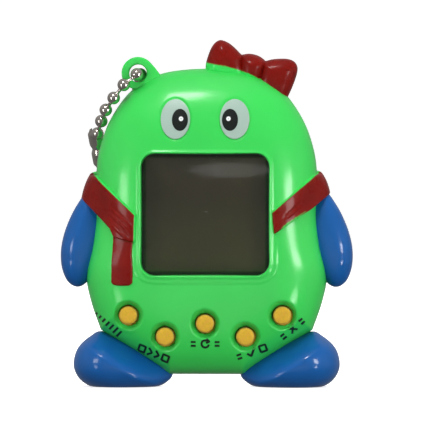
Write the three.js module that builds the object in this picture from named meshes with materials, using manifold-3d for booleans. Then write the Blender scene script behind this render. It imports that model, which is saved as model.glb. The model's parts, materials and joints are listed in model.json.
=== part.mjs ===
// Virtual pet keychain: a standing penguin-shaped toy with a screen, five buttons and a bead chain.
// Millimetres, +Z up. The face looks along -Y, and the soles of the feet stand on Z = 0.

import * as THREE from "three";
import { mergeVertices } from "three/addons/utils/BufferGeometryUtils.js";
import Module from "manifold-3d";

const wasm = await Module();
wasm.setup();

// ---- Driving dimensions ---------------------------------------------------------------------

const GAP = 0.3; // clearance between neighbouring pieces
const PARTING = GAP / 2; // each shell stops this far from the parting plane
const FAR = 30; // reach of a cutter that goes right through
const WALL = 1.2; // thickness of both shells

// Body: x and z of its right flank, from the crown of the head down to the hip above the foot.
const FLANK = [
  [0, 59.2], [7.5, 58.5], [12, 56.5], [15.1, 54], [18, 49.6], [19.7, 45.1],
  [20.5, 40.5], [20.7, 32.5], [21.5, 26.2], [22.4, 20.8], [21.5, 15.8], [19.7, 10.6],
];
const BELLY_CORNER = [8.1, 3]; // where the straight foot line meets the flat belly
const HEART = [0, 31]; // the x and z that the rings of the body close in on
const FRONT = { depth: 9, power: 4.4 }; // from the parting plane to the face, and how square it is
const REAR = { depth: 8, power: 3.6 };

// Relief on the body
const SCARF_RISE = 0.6;
const SHOULDER = [[20.3, 41.8], [21.5, 39.4], [22.6, 37.2], [22.9, 35.4], [22.4, 33.4], [21.2, 30.5]];
const BAND_RIGHT = [[12.4, 32.3], [12.8, 28.3], [24.4, 36.5], [24.4, 43.2], [20.9, 40.1]];
const BAND_LEFT = [
  [-13.4, 32], [-20.9, 40.1], [-24.4, 43.2], [-24.4, 36.3], [-22.7, 34.9],
  [-17.3, 29.4], [-17.5, 19.6], [-17, 19], [-14, 19], [-13.5, 19.6],
];
const BOW_LEFT = [
  [7.2, 58], [7.4, 61.4], [6, 62.5], [4.2, 63.8], [2.5, 64.2],
  [0.8, 62.8], [-0.1, 60.6], [-0.4, 58.8], [3.5, 57.4],
];
const BOW_RIGHT = [
  [9.8, 57], [12.6, 54.7], [15.1, 53.9], [16.1, 55.8], [16.9, 58.4],
  [16.4, 60], [14.8, 60.7], [12.2, 60.7], [10.4, 60.2],
];
const BOW_KNOT = { x: 8.8, z: 59.5, rx: 3, rz: 2.5 };

// Limbs
const FLIPPER = [
  [21.9, 36.6], [20.4, 35], [19.8, 31], [20.9, 26], [22, 22], [23.1, 19.5], [24.5, 18.7],
  [25.9, 19.6], [26.9, 21.8], [27.2, 24.4], [26.9, 27.2], [25.9, 30.4], [24.2, 33.8],
];
const FLIPPER_TAB = { inner: 18.6, outer: 23.5, z: 30.5, height: 6 };
const FOOT = [
  [19.4, 10.5], [13.6, 7.7], [8.2, 4.2], [6.4, 2.3], [8.1, 0.6], [11, -0.6], [15.5, -1.1],
  [20, -0.6], [22.4, 0.8], [24, 2.6], [24.4, 4.8], [23.6, 7.4], [21.8, 9.6],
];
const FOOT_TAB = { x: 13.9, z: 6.8, width: 6, length: 5.4, inside: 0.5 };
const FOOT_LINE_SLOPE = Math.atan2(7.6, 11.6); // of the straight line that the foot sits against
const TAB_THICKNESS = 2.4;

// Screen
const SCREEN = { z: 32.1, width: 23.6, height: 22.4, radius: 2.3, lip: 1.4, rise: 0.35 };
const WINDOW = { front: -6.6, back: -5.6, over: 1 };
const LCD = { front: -5.3, back: -3.8, width: 24.4, height: 23.2 };
const LCD_FRAME = { width: 26.4, height: 25.2 };
const ZEBRA = { below: 9.5, width: 22.4, height: 1.6 };
const EYE = { x: 5.46, z: 49.7, rx: 2.72, rz: 3.7, rise: 0.15, socket: 0.45 };

// Buttons: x and z of each, from left to right.
const BUTTON_SPOTS = [[-14.2, 13.5], [-7.4, 9.6], [0, 12], [7.4, 9.6], [14.2, 13.5]];
const BUTTON = { radius: 1.7, proud: 0.35, flange: 2.4, flangeHeight: 0.5, stem: 1.3, travel: 0.7 };
const DISH = { radius: 2.7, depth: 0.75 };
const GUIDE = { radius: 3.2, length: 1.6 };
const PILL = { radius: 1.1, height: 0.3 };
const MAT = { ring: 2.9, hole: 2.2, height: 0.6, strap: 2.4 };

// Board
const BOARD = { front: -2.3, back: -1.3 };
const BOARD_HALF = [[9.6, 7.4], [17, 11.6], [17, 18.3], [14.8, 19.5], [14.8, 44.8], [5, 45.2], [3.6, 48.4]];
const ON_BOARD = BOARD.back + GAP; // where the parts on the back of the board start
const CHIP = { z: 20.5, radius: 3.6, height: 1.2 };
const CRYSTAL = { x: 10, z: 13, radius: 1, length: 6 };
const CAPACITORS = { height: 1.2, spots: [[-11, 12.5], [-6.5, 24.2]] };
const RESISTORS = { height: 0.6, spots: [[6.5, 24.2], [-9, 20.4]] };
const CHIP_SIZE = [2, 1.2]; // length and width of a capacitor and of a resistor
const LEAD_RADIUS = 0.4;

// Battery bay
const CELL = { x: 6.3, z: 34.6, radius: 5.8, height: 5.4, front: 0.45 };
const BAY = { floor: -0.4, floorThickness: 0.6, side: 13.3, low: 27.7, high: 41.5 };
const CONTACT = { width: 3.6, low: 26.4, high: 37, thickness: 0.25 };
const BRIDGE = { front: 6, thickness: 0.2, length: 17, width: 4 };
const DOOR = { z: 32.8, width: 28.4, height: 19.2, radius: 3, thickness: 1.3 };

const BUZZER = { z: 15.8, radius: 6, front: 4.2, thickness: 0.25, ceramic: 4.2 };
const SOUND_HOLES = [[0, 0], [2, 0], [-2, 0], [0, 2], [0, -2]];

// Screws: the seat is the y that the head stands on.
const CASE_SCREWS = [[-13, 47.5], [13, 47.5], [-17.5, 22.5], [17.5, 22.5]];
const CASE_SCREW = { seat: 2.2, head: 1.55, headHeight: 1, shank: 0.85, length: 5.4, well: 1.9 };
const BOARD_SCREWS = [[-10.6, 17.8], [10.6, 17.8], [0, 46.4]];
const BOARD_SCREW = { seat: ON_BOARD, head: 1.4, headHeight: 0.8, shank: 0.7, length: 4 };
const DOOR_SCREW = { z: 25.2, head: 1.6, headHeight: 0.5, shank: 0.85, length: 4.6, well: 1.95, sunk: 0.9 };

// Chain: up the flank from the clasp, through the eyelet from the front, down behind the body in
// a hanging bight, and back up to the clasp's lower end.
const EYELET = { x: -12.7, z: 58.3, radius: 3.05, hole: 1.6, front: -2.3 };
const BEAD_RADIUS = 1.2;
const CHAIN_ROUTE = [
  [-20.4, 2.9, 48.1], [-19.8, 1.4, 49.2], [-18.9, -0.9, 51.2], [-17.2, -3, 53.6], [-15, -4.1, 56.2],
  [-13.1, -3.6, 57.9], [-12.7, -2.2, 58.3], [-12.7, -0.2, 58.3], [-12.8, 2.6, 57.8], [-13.3, 5.4, 55],
  [-14.3, 6.8, 50.4], [-15.3, 7.6, 45], [-15.9, 8, 40], [-16.2, 8.2, 34], [-16, 8.3, 28], [-15, 8.5, 22],
  [-13.4, 8.7, 17], [-13.6, 8.4, 12.6], [-16.3, 7.4, 10.2], [-19, 6.7, 13], [-19.6, 6.6, 18],
  [-19.5, 6.8, 24], [-19.2, 7, 30], [-19, 7, 35], [-18.95, 6.6, 40],
];
const CLASP = { top: [-20.3, 3.6, 47.3], bottom: [-19, 6.4, 40.5], radius: 1.5, neck: 0.9, chamfer: 0.7 };

// ---- Materials ------------------------------------------------------------------------------

const finish = (color, roughness, metalness = 0) =>
  new THREE.MeshStandardMaterial({ color, roughness, metalness });

const green = finish(0x4ee068, 0.3);
const blue = finish(0x1f5aa8, 0.22);
const yellow = finish(0xe8b43c, 0.6);
const eyeWhite = finish(0xc3d2ca, 0.4);
const clear = new THREE.MeshStandardMaterial({
  color: 0x3f3b30, roughness: 0.1, transparent: true, opacity: 0.35,
});
const liquidCrystal = finish(0x45443a, 0.25);
const whitePlastic = finish(0xe6e4dc, 0.5);
const blackPlastic = finish(0x18181a, 0.45);
const boardGreen = finish(0x1d5b35, 0.5);
const rubber = finish(0x2c2c2e, 0.8);
const steel = finish(0xb9bcc0, 0.25, 1);
const brass = finish(0xc9a54e, 0.3, 1);
const ceramic = finish(0xe9e7e0, 0.5);
const redWire = finish(0xb3221f, 0.45);
const copper = finish(0xb88a4a, 0.4, 0.6);

// ---- Solids ---------------------------------------------------------------------------------

/** A closed three.js geometry as a solid that can be joined and cut. */
function solid(geometry) {
  const bare = geometry.index ? geometry : geometry.clone();
  bare.deleteAttribute("normal");
  bare.deleteAttribute("uv");
  const merged = mergeVertices(bare, 1e-4);
  const triVerts = new Uint32Array(merged.index.array);
  const vertProperties = new Float32Array(merged.attributes.position.array);
  const made = new wasm.Manifold(new wasm.Mesh({ numProp: 3, vertProperties, triVerts }));
  if (made.volume() > 0) return made;
  for (let i = 0; i < triVerts.length; i += 3) {
    [triVerts[i + 1], triVerts[i + 2]] = [triVerts[i + 2], triVerts[i + 1]];
  }
  return new wasm.Manifold(new wasm.Mesh({ numProp: 3, vertProperties, triVerts }));
}

/** A solid as a three.js geometry. */
function geometryOf(body) {
  const mesh = body.getMesh();
  const geometry = new THREE.BufferGeometry();
  geometry.setAttribute("position", new THREE.BufferAttribute(Float32Array.from(mesh.vertProperties), 3));
  geometry.setIndex(new THREE.BufferAttribute(Uint32Array.from(mesh.triVerts), 1));
  geometry.computeVertexNormals();
  return geometry;
}

const joined = (...bodies) => bodies.reduce((sum, body) => sum.add(body));

/** An outline in x and z, pushed through from y0 to y1. */
function prism(shape, y0, y1, curveSegments = 4) {
  const geometry = new THREE.ExtrudeGeometry(shape, { depth: y1 - y0, bevelEnabled: false, curveSegments });
  geometry.rotateX(Math.PI / 2);
  geometry.translate(0, y1, 0);
  return solid(geometry);
}

const shapeOf = (points) => new THREE.Shape(points.map(([x, z]) => new THREE.Vector2(x, z)));

function box(x0, x1, y0, y1, z0, z1) {
  const geometry = new THREE.BoxGeometry(x1 - x0, y1 - y0, z1 - z0);
  geometry.translate((x0 + x1) / 2, (y0 + y1) / 2, (z0 + z1) / 2);
  return solid(geometry);
}

/** A round bar along Y. */
function bar(x, z, radius, y0, y1, sides = 20) {
  const geometry = new THREE.CylinderGeometry(radius, radius, y1 - y0, sides);
  geometry.translate(x, (y0 + y1) / 2, z);
  return solid(geometry);
}

/** A turned solid about a line along Y: the profile is radius and y, and starts and ends on the line. */
function turned(x, z, profile, sides = 20) {
  const geometry = new THREE.LatheGeometry(profile.map(([r, y]) => new THREE.Vector2(r, y)), sides);
  geometry.translate(x, 0, z);
  return solid(geometry);
}

function roundedRectangle(x, z, width, height, radius) {
  const [left, low] = [x - width / 2, z - height / 2];
  const [right, high] = [x + width / 2, z + height / 2];
  const shape = new THREE.Shape();
  shape.absarc(right - radius, high - radius, radius, 0, Math.PI / 2);
  shape.absarc(left + radius, high - radius, radius, Math.PI / 2, Math.PI);
  shape.absarc(left + radius, low + radius, radius, Math.PI, 1.5 * Math.PI);
  shape.absarc(right - radius, low + radius, radius, 1.5 * Math.PI, 2 * Math.PI);
  shape.closePath();
  return shape;
}

function ellipse(x, z, rx, rz) {
  const shape = new THREE.Shape();
  shape.absellipse(x, z, rx, rz, 0, 2 * Math.PI);
  return shape;
}

/** Points along a smooth closed curve through the given x and z points. */
function smoothLoop(points, count) {
  const through = points.map(([x, z]) => new THREE.Vector3(x, 0, z));
  const curve = new THREE.CatmullRomCurve3(through, true);
  return curve.getSpacedPoints(count).slice(0, count).map((p) => [p.x, p.z]);
}

/** The outline moved outwards by a distance, or inwards by a negative one. */
function offset(outline, distance) {
  const count = outline.length;
  const normal = ([ax, az], [bx, bz]) => {
    const length = Math.hypot(bx - ax, bz - az);
    return [(bz - az) / length, (ax - bx) / length];
  };
  return outline.map(([x, z], i) => {
    const before = normal(outline[(i + count - 1) % count], outline[i]);
    const after = normal(outline[i], outline[(i + 1) % count]);
    const [nx, nz] = [before[0] + after[0], before[1] + after[1]];
    const stretch = (2 * distance) / (nx * nx + nz * nz);
    return [x + nx * stretch, z + nz * stretch];
  });
}

/** A pebble: rings of one outline that close in on a centre, domed forwards and backwards. */
function pebble(outline, [cx, cz], frontDepth, rearDepth, power, rings = 6) {
  const count = outline.length;
  const positions = [];
  const faces = [];
  const ring = (turn, depth) => {
    const share = Math.sin(turn) ** (2 / power);
    outline.forEach(([x, z]) => {
      positions.push(cx + (x - cx) * share, depth * Math.cos(turn), cz + (z - cz) * share);
    });
  };
  positions.push(cx, -frontDepth, cz);
  for (let k = 1; k < rings; k += 1) ring((k / rings) * (Math.PI / 2), -frontDepth);
  ring(Math.PI / 2, 0);
  for (let k = rings - 1; k > 0; k -= 1) ring((k / rings) * (Math.PI / 2), rearDepth);
  positions.push(cx, rearDepth, cz);
  const last = positions.length / 3 - 1;
  const spot = (row, i) => 1 + row * count + (i % count);
  const rows = 2 * rings - 1;
  for (let i = 0; i < count; i += 1) {
    faces.push(0, spot(0, i), spot(0, i + 1));
    for (let row = 0; row + 1 < rows; row += 1) {
      faces.push(spot(row, i), spot(row + 1, i), spot(row + 1, i + 1));
      faces.push(spot(row, i), spot(row + 1, i + 1), spot(row, i + 1));
    }
    faces.push(last, spot(rows - 1, i + 1), spot(rows - 1, i));
  }
  const geometry = new THREE.BufferGeometry();
  geometry.setAttribute("position", new THREE.Float32BufferAttribute(positions, 3));
  geometry.setIndex(faces);
  return solid(geometry);
}

// ---- The body's form ------------------------------------------------------------------------

/** The outline of a body with the given flank, in x and z, anticlockwise as seen from the front. */
function outlineWith(flank, steps) {
  const over = [...flank].reverse().concat(flank.slice(1).map(([x, z]) => [-x, z]));
  const curve = new THREE.SplineCurve(over.map(([x, z]) => new THREE.Vector2(x, z)));
  const outline = curve.getSpacedPoints(steps).map((p) => [p.x, p.y]);
  const [hipX, hipZ] = flank[flank.length - 1];
  const [cornerX, cornerZ] = BELLY_CORNER;
  const straight = (from, to, count) => {
    for (let i = 1; i <= count; i += 1) {
      const t = i / count;
      outline.push([from[0] + (to[0] - from[0]) * t, from[1] + (to[1] - from[1]) * t]);
    }
  };
  straight([-hipX, hipZ], [-cornerX, cornerZ], 4);
  straight([-cornerX, cornerZ], [cornerX, cornerZ], 3);
  straight([cornerX, cornerZ], [hipX, hipZ], 4);
  outline.pop();
  return outline;
}

const OUTLINE = outlineWith(FLANK, 40);
const SHOULDERED = outlineWith([...FLANK.slice(0, 6), ...SHOULDER, ...FLANK.slice(8)], 52);

/** The front half of the body, grown by a distance at its rim and by a rise at its face. */
function frontDome(grow, rise = grow) {
  return pebble(offset(OUTLINE, grow), HEART, FRONT.depth + rise, 0.01, FRONT.power, 7);
}

/** The rear half of the body, grown in the same way. */
function rearDome(grow, rise = grow) {
  return pebble(offset(OUTLINE, grow), HEART, 0.01, REAR.depth + rise, REAR.power, 6);
}

const body = (grow) => joined(frontDome(grow), rearDome(grow));

/** How far a dome stands off the parting plane at x and z. */
function domeDepth(x, z, { depth, power }) {
  const [dx, dz] = [x - HEART[0], z - HEART[1]];
  let share = 0;
  OUTLINE.forEach(([ax, az], i) => {
    const [bx, bz] = OUTLINE[(i + 1) % OUTLINE.length];
    const [ex, ez] = [bx - ax, bz - az];
    const cross = dx * ez - dz * ex;
    const reach = ((ax - HEART[0]) * ez - (az - HEART[1]) * ex) / cross;
    const spot = ((ax - HEART[0]) * dz - (az - HEART[1]) * dx) / cross;
    if (cross !== 0 && reach > 0 && spot >= 0 && spot <= 1) share = Math.max(share, 1 / reach);
  });
  return depth * Math.sqrt(Math.max(0, 1 - share ** power));
}

const faceY = (x, z) => -domeDepth(x, z, FRONT);
const backY = (x, z) => domeDepth(x, z, REAR);
const inFront = (y) => box(-2 * FAR, 2 * FAR, -FAR, y, -FAR, 3 * FAR);
const behind = (y) => box(-2 * FAR, 2 * FAR, y, FAR, -FAR, 3 * FAR);

// ---- Relief on the shells -------------------------------------------------------------------

/** The scarf: two bands down from the shoulders, the left one with a hanging tail. */
function scarf(grow = 0) {
  const rise = SCARF_RISE + grow;
  const wrap = pebble(offset(SHOULDERED, grow), HEART, FRONT.depth + rise, 6 + grow, FRONT.power, 6);
  const band = (points) => prism(shapeOf(offset(points, grow)), -FAR, FAR).intersect(wrap);
  return joined(band(BAND_RIGHT), band(BAND_LEFT));
}

/** The bow on top of the head: two lobes and a knot. */
function bow() {
  const { x, z, rx, rz } = BOW_KNOT;
  const knot = ellipse(x, z, rx, rz).getSpacedPoints(12).slice(0, 12).map((p) => [p.x, p.y]);
  return joined(
    pebble(smoothLoop(BOW_LEFT, 16), [3.4, 60.8], 2.8, 2.4, 3, 3),
    pebble(smoothLoop(BOW_RIGHT, 16), [13.4, 57.6], 2.8, 2.4, 3, 3),
    pebble(knot, [x, z], 3.3, 2.8, 2.6, 3),
  );
}

// ---- Limbs ----------------------------------------------------------------------------------

/** An outline drawn for the right side, or its mirror image for the left. */
function onSide(side, outline) {
  return side > 0 ? [...outline].reverse() : outline.map(([x, z]) => [-x, z]);
}

/** The tab that holds a flipper between the shells. */
function flipperTab(side, grow) {
  const { inner, outer, z, height } = FLIPPER_TAB;
  const tab = new THREE.BoxGeometry(outer - inner + grow, TAB_THICKNESS + 2 * grow, height + 2 * grow);
  tab.translate((side * (inner + outer - grow)) / 2, 0, z);
  return solid(tab);
}

/** The tab that holds a foot between the shells, square to the foot line. */
function footTab(side, grow) {
  const { x, z, width, length, inside } = FOOT_TAB;
  const tab = new THREE.BoxGeometry(width + 2 * grow, TAB_THICKNESS + 2 * grow, length + grow);
  tab.translate(0, 0, inside + grow / 2);
  tab.rotateY(-side * FOOT_LINE_SLOPE);
  tab.translate(side * x, 0, z);
  return solid(tab);
}

function flipper(side) {
  const leaf = pebble(smoothLoop(onSide(side, FLIPPER), 22), [side * 23.6, 26.6], 3.5, 3.5, 2.3, 4);
  return leaf.subtract(body(GAP)).subtract(scarf(GAP)).add(flipperTab(side, 0));
}

function foot(side) {
  const lump = pebble(smoothLoop(onSide(side, FOOT), 22), [side * 15.6, 4.3], 7.9, 6.9, 2.3, 5);
  const standing = lump.intersect(box(-FAR, FAR, -FAR, FAR, 0, FAR));
  return standing.subtract(body(GAP)).add(footTab(side, 0));
}

/** The slots in both shells that the tabs of the limbs sit in. */
const tabSlots = () =>
  joined(...[-1, 1].flatMap((side) => [flipperTab(side, GAP), footTab(side, GAP)]));

// ---- Front shell ----------------------------------------------------------------------------

const guideBack = ([x, z]) => faceY(x, z) + GUIDE.length;
const eyeOutline = (side, grow) => ellipse(side * EYE.x, EYE.z, EYE.rx + grow, EYE.rz + grow);

function screenOutline(extra, cornerRadius) {
  return roundedRectangle(0, SCREEN.z, SCREEN.width + extra, SCREEN.height + extra, cornerRadius);
}

/** What is taken out of the front shell for a button: its dish, its bore and room for its flange. */
function buttonHole(spot) {
  return joined(
    bar(...spot, DISH.radius, -FAR, faceY(...spot) + DISH.depth, 16),
    bar(...spot, BUTTON.radius + GAP, -FAR, 0, 14),
    bar(...spot, BUTTON.flange + GAP, guideBack(spot), 0, 14),
  );
}

function frontShell() {
  const { lip, radius, rise } = SCREEN;
  const insideWall = frontDome(-WALL / 2);
  const boss = (x, z, bossRadius, back) => bar(x, z, bossRadius, faceY(x, z), back, 12);
  let shell = joined(
    frontDome(0),
    prism(screenOutline(2 * lip, radius + lip), -FAR, -3).intersect(frontDome(rise)),
    scarf().intersect(inFront(0)),
    bow().intersect(inFront(0)),
  ).subtract(frontDome(-WALL));

  const guides = BUTTON_SPOTS.map((spot) => bar(...spot, GUIDE.radius, faceY(...spot), guideBack(spot), 14));
  shell = shell.add(joined(...guides).intersect(insideWall));
  shell = shell.subtract(joined(...BUTTON_SPOTS.map(buttonHole)));

  const sockets = joined(...[-1, 1].map((side) => prism(eyeOutline(side, GAP), -FAR, 0, 10)));
  shell = shell.subtract(sockets.subtract(frontDome(0, -EYE.socket)));
  shell = shell.subtract(prism(screenOutline(WINDOW.over + 2 * GAP, 2.5), WINDOW.front - GAP, 0));
  shell = shell.subtract(prism(screenOutline(0, radius), -FAR, 0)).intersect(inFront(-PARTING));

  BOARD_SCREWS.forEach(([x, z]) => {
    shell = shell.add(boss(x, z, 1.7, BOARD.front - GAP).intersect(insideWall));
    shell = shell.subtract(bar(x, z, BOARD_SCREW.shank + GAP, faceY(x, z) + 2, 0, 8));
  });
  const bossRoom = insideWall.add(behind(-1));
  CASE_SCREWS.forEach(([x, z]) => {
    shell = shell.add(boss(x, z, 2.1, 0.9).intersect(bossRoom));
    shell = shell.subtract(bar(x, z, CASE_SCREW.shank + GAP, -3.5, FAR, 8));
  });
  shell = shell.subtract(tabSlots());

  const { x, z, radius: eyeletRadius, hole, front } = EYELET;
  const eyelet = bar(x, z, eyeletRadius, front, -PARTING, 24).subtract(frontDome(-WALL));
  return shell.add(eyelet).subtract(bar(x, z, hole, -FAR, FAR, 20));
}

// ---- Rear shell and battery bay -------------------------------------------------------------

/** A prism of the door's outline, grown by a distance, through the back of the body. */
function doorPrism(grow) {
  const { z, width, height, radius } = DOOR;
  return prism(roundedRectangle(0, z, width + 2 * grow, height + 2 * grow, radius + grow), 2, FAR);
}

function rearShell() {
  const insideWall = rearDome(-WALL / 2);
  const underDoor = rearDome(0, -DOOR.thickness - GAP);
  let shell = joined(rearDome(0), scarf().intersect(behind(0)), bow().intersect(behind(0)));
  shell = shell.subtract(rearDome(-WALL)).subtract(doorPrism(GAP).subtract(underDoor));

  const ledge = doorPrism(WALL).intersect(underDoor).subtract(rearDome(-WALL, -DOOR.thickness - GAP - WALL));
  const { floor, floorThickness, side, low, high } = BAY;
  const bay = box(-side, side, floor - floorThickness, 7, low, high).intersect(underDoor.add(inFront(GAP)));
  const bayOrRear = behind(PARTING).add(box(-side, side, -3, 1, low, high));
  shell = shell.add(ledge).add(bay).intersect(bayOrRear);
  [-CELL.x, CELL.x].forEach((x) => {
    shell = shell.subtract(bar(x, CELL.z, CELL.radius + GAP, floor, FAR, 24));
    shell = shell.subtract(box(x - 2.1, x + 2.1, floor, 0.4, 26, 32));
  });
  shell = shell.subtract(box(-4, 4, floor, FAR, 31.5, 37.7));

  shell = shell.add(bar(0, DOOR_SCREW.z, 2.2, 1, 6, 16).intersect(underDoor));
  shell = shell.subtract(bar(0, DOOR_SCREW.z, DOOR_SCREW.shank + GAP, 1.6, FAR, 12));

  const seatFront = BUZZER.front + BUZZER.thickness + GAP;
  const seat = bar(0, BUZZER.z, BUZZER.radius + 1, seatFront, FAR, 24)
    .subtract(bar(0, BUZZER.z, BUZZER.radius - 0.4, 0, FAR, 24))
    .intersect(rearDome(-0.5));
  const holes = SOUND_HOLES.map(([x, z]) => bar(x, BUZZER.z + z, 0.5, 4, FAR, 6));
  shell = shell.add(seat).subtract(joined(...holes));

  CASE_SCREWS.forEach(([x, z]) => {
    shell = shell.add(bar(x, z, 2.6, CASE_SCREW.seat - 1, FAR, 14).intersect(insideWall));
    shell = shell.subtract(bar(x, z, CASE_SCREW.shank + GAP, 0, FAR, 8));
    shell = shell.subtract(bar(x, z, CASE_SCREW.well, CASE_SCREW.seat, FAR, 14));
  });
  return shell.subtract(tabSlots());
}

function batteryDoor() {
  const { z, shank, well, sunk } = DOOR_SCREW;
  return doorPrism(0)
    .intersect(rearDome(0))
    .subtract(rearDome(0, -DOOR.thickness))
    .subtract(bar(0, z, shank + GAP, 0, FAR, 12))
    .subtract(bar(0, z, well, backY(0, z) - sunk, FAR, 16));
}

// ---- Small pieces ---------------------------------------------------------------------------

/** A pan-head screw driven along -Y, with its head on the given seat. */
function screw(x, z, { seat, head, headHeight, shank, length }) {
  return turned(x, z, [
    [0, seat - length], [shank, seat - length + 0.8], [shank, seat], [head, seat],
    [head, seat + headHeight * 0.6], [head * 0.7, seat + headHeight], [0, seat + headHeight],
  ], 10);
}

function button(spot) {
  const top = faceY(...spot) - BUTTON.proud;
  const { radius, flange, flangeHeight, stem } = BUTTON;
  const step = guideBack(spot) + GAP;
  const tip = BOARD.front - BUTTON.travel - PILL.height - GAP;
  return turned(...spot, [
    [0, top], [radius * 0.72, top + 0.1], [radius * 0.93, top + 0.35], [radius, top + 0.75],
    [radius, step], [flange, step], [flange, step + flangeHeight], [stem, step + flangeHeight],
    [stem, tip], [0, tip],
  ], 12);
}

function contactPill(spot) {
  const back = BOARD.front - BUTTON.travel;
  return bar(...spot, PILL.radius, back - PILL.height, back, 10);
}

/** The mat behind the buttons: a ring around each, joined in a row by straps. */
function keypadMat() {
  const back = BOARD.front - GAP;
  let mat = joined(...BUTTON_SPOTS.map((spot) => bar(...spot, MAT.ring, back - MAT.height, back, 14)));
  BUTTON_SPOTS.slice(1).forEach(([bx, bz], i) => {
    const [ax, az] = BUTTON_SPOTS[i];
    const strap = new THREE.BoxGeometry(Math.hypot(bx - ax, bz - az), MAT.height, MAT.strap);
    strap.rotateY(-Math.atan2(bz - az, bx - ax));
    strap.translate((ax + bx) / 2, back - MAT.height / 2, (az + bz) / 2);
    mat = mat.add(solid(strap));
  });
  return mat.subtract(joined(...BUTTON_SPOTS.map((spot) => bar(...spot, MAT.hole, -FAR, 0, 14))));
}

function circuitBoard() {
  const outline = BOARD_HALF.concat([...BOARD_HALF].reverse().map(([x, z]) => [-x, z]));
  const holes = BOARD_SCREWS.map(([x, z]) => bar(x, z, BOARD_SCREW.shank + GAP, -FAR, FAR, 10));
  return prism(shapeOf(outline), BOARD.front, BOARD.back).subtract(joined(...holes));
}

/** The chip's drop of epoxy on the back of the board. */
function chipBlob() {
  const { z, radius, height } = CHIP;
  const top = ON_BOARD + height;
  return turned(0, z, [
    [0, top], [radius * 0.55, top - 0.2], [radius * 0.9, top - 0.7], [radius, ON_BOARD], [0, ON_BOARD],
  ], 18);
}

function crystal() {
  const can = new THREE.CylinderGeometry(CRYSTAL.radius, CRYSTAL.radius, CRYSTAL.length, 10);
  can.rotateZ(Math.PI / 2);
  can.translate(CRYSTAL.x, ON_BOARD + CRYSTAL.radius + 0.1, CRYSTAL.z);
  return solid(can);
}

/** A small part on the back of the board. */
function onBoard([x, z], height) {
  const [length, width] = CHIP_SIZE;
  return box(x - length / 2, x + length / 2, ON_BOARD, ON_BOARD + height, z - width / 2, z + width / 2);
}

/** The frame that holds the LCD off the board, with a slot for the zebra strip. */
function lcdFrame() {
  const { width, height } = LCD_FRAME;
  const pocket = roundedRectangle(0, SCREEN.z, LCD.width + 2 * GAP, LCD.height + 2 * GAP, 0.5);
  const slotZ = SCREEN.z - ZEBRA.below;
  const slotHalf = [ZEBRA.width / 2 + GAP, ZEBRA.height / 2 + GAP];
  return prism(roundedRectangle(0, SCREEN.z, width, height, 1.5), LCD.front, BOARD.front - GAP)
    .subtract(prism(pocket, -FAR, LCD.back + GAP))
    .subtract(box(-10, 10, -FAR, 0, SCREEN.z - 6, SCREEN.z + 9))
    .subtract(box(-slotHalf[0], slotHalf[0], -FAR, 0, slotZ - slotHalf[1], slotZ + slotHalf[1]));
}

function zebraStrip() {
  const z = SCREEN.z - ZEBRA.below;
  const half = ZEBRA.height / 2;
  return box(-ZEBRA.width / 2, ZEBRA.width / 2, LCD.back + GAP, BOARD.front - GAP, z - half, z + half);
}

/** A button cell. The left one has its can to the door, the right one its cap. */
function cell(side) {
  const { x, z, radius, height, front } = CELL;
  const y = (up) => (side < 0 ? front + up : front + height - up);
  return turned(side * x, z, [
    [0, y(0)], [radius - 1, y(0)], [radius - 0.9, y(0.8)], [radius, y(1.2)],
    [radius, y(height - 0.3)], [radius - 0.3, y(height)], [0, y(height)],
  ], 20);
}

/** A contact on the bay's floor, with a tail out through the bay's lower wall. */
function contact(side) {
  const [x, half] = [side * CELL.x, CONTACT.width / 2];
  const front = BAY.floor + GAP;
  return box(x - half, x + half, front, front + CONTACT.thickness, CONTACT.low, CONTACT.high);
}

/** The plate inside the door that joins the two cells. */
function bridge() {
  const { front, thickness, length, width } = BRIDGE;
  const [half, low, high] = [length / 2, CELL.z - width / 2, CELL.z + width / 2];
  return box(-half, half, front, front + thickness, low, high);
}

/** A wire of round section through the given points. */
function wire(points, radius, steps) {
  const path = new THREE.CatmullRomCurve3(points.map((p) => new THREE.Vector3(...p)));
  const section = new THREE.Shape();
  section.absarc(0, 0, radius, 0, 2 * Math.PI);
  return new THREE.ExtrudeGeometry(section, {
    steps, extrudePath: path, curveSegments: 4, bevelEnabled: false,
  });
}

/** A lead from a contact of the bay to the board. */
function batteryLead(side) {
  const route = [[6.3, 0.8, 26.9], [5.4, 1.2, 24.6], [4.8, 0.4, 22.8], [4.8, ON_BOARD + 0.1, 22]];
  return wire(route.map(([x, y, z]) => [side * x, y, z]), LEAD_RADIUS, 6);
}

/** The chain's clasp: a capsule between the two ends of the chain. */
function clasp() {
  const [top, bottom] = [new THREE.Vector3(...CLASP.top), new THREE.Vector3(...CLASP.bottom)];
  const length = top.distanceTo(bottom);
  const { radius, neck, chamfer } = CLASP;
  const profile = [
    [0, 0], [neck, 0], [radius, chamfer], [radius, length - chamfer], [neck, length], [0, length],
  ];
  const geometry = new THREE.LatheGeometry(profile.map(([x, y]) => new THREE.Vector2(x, y)), 12);
  const along = top.clone().sub(bottom).normalize();
  const lean = new THREE.Quaternion().setFromUnitVectors(new THREE.Vector3(0, 1, 0), along);
  return solid(geometry.applyQuaternion(lean).translate(...CLASP.bottom));
}

// ---- Assembly -------------------------------------------------------------------------------

const toy = new THREE.Group();

function place(name, shape, material) {
  const geometry = shape.isBufferGeometry ? shape : geometryOf(shape);
  const mesh = new THREE.Mesh(geometry, material);
  mesh.name = name;
  toy.add(mesh);
}

place("front_shell", frontShell(), green);
place("rear_shell", rearShell(), green);
[[-1, "left"], [1, "right"]].forEach(([side, word]) => {
  place(`flipper_${word}`, flipper(side), blue);
  place(`foot_${word}`, foot(side), blue);
  const skin = frontDome(0, EYE.rise).subtract(frontDome(0, GAP - EYE.socket));
  place(`eye_${word}`, prism(eyeOutline(side, 0), -FAR, 0, 10).intersect(skin), eyeWhite);
  place(`battery_cell_${word}`, cell(side), steel);
});

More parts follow.
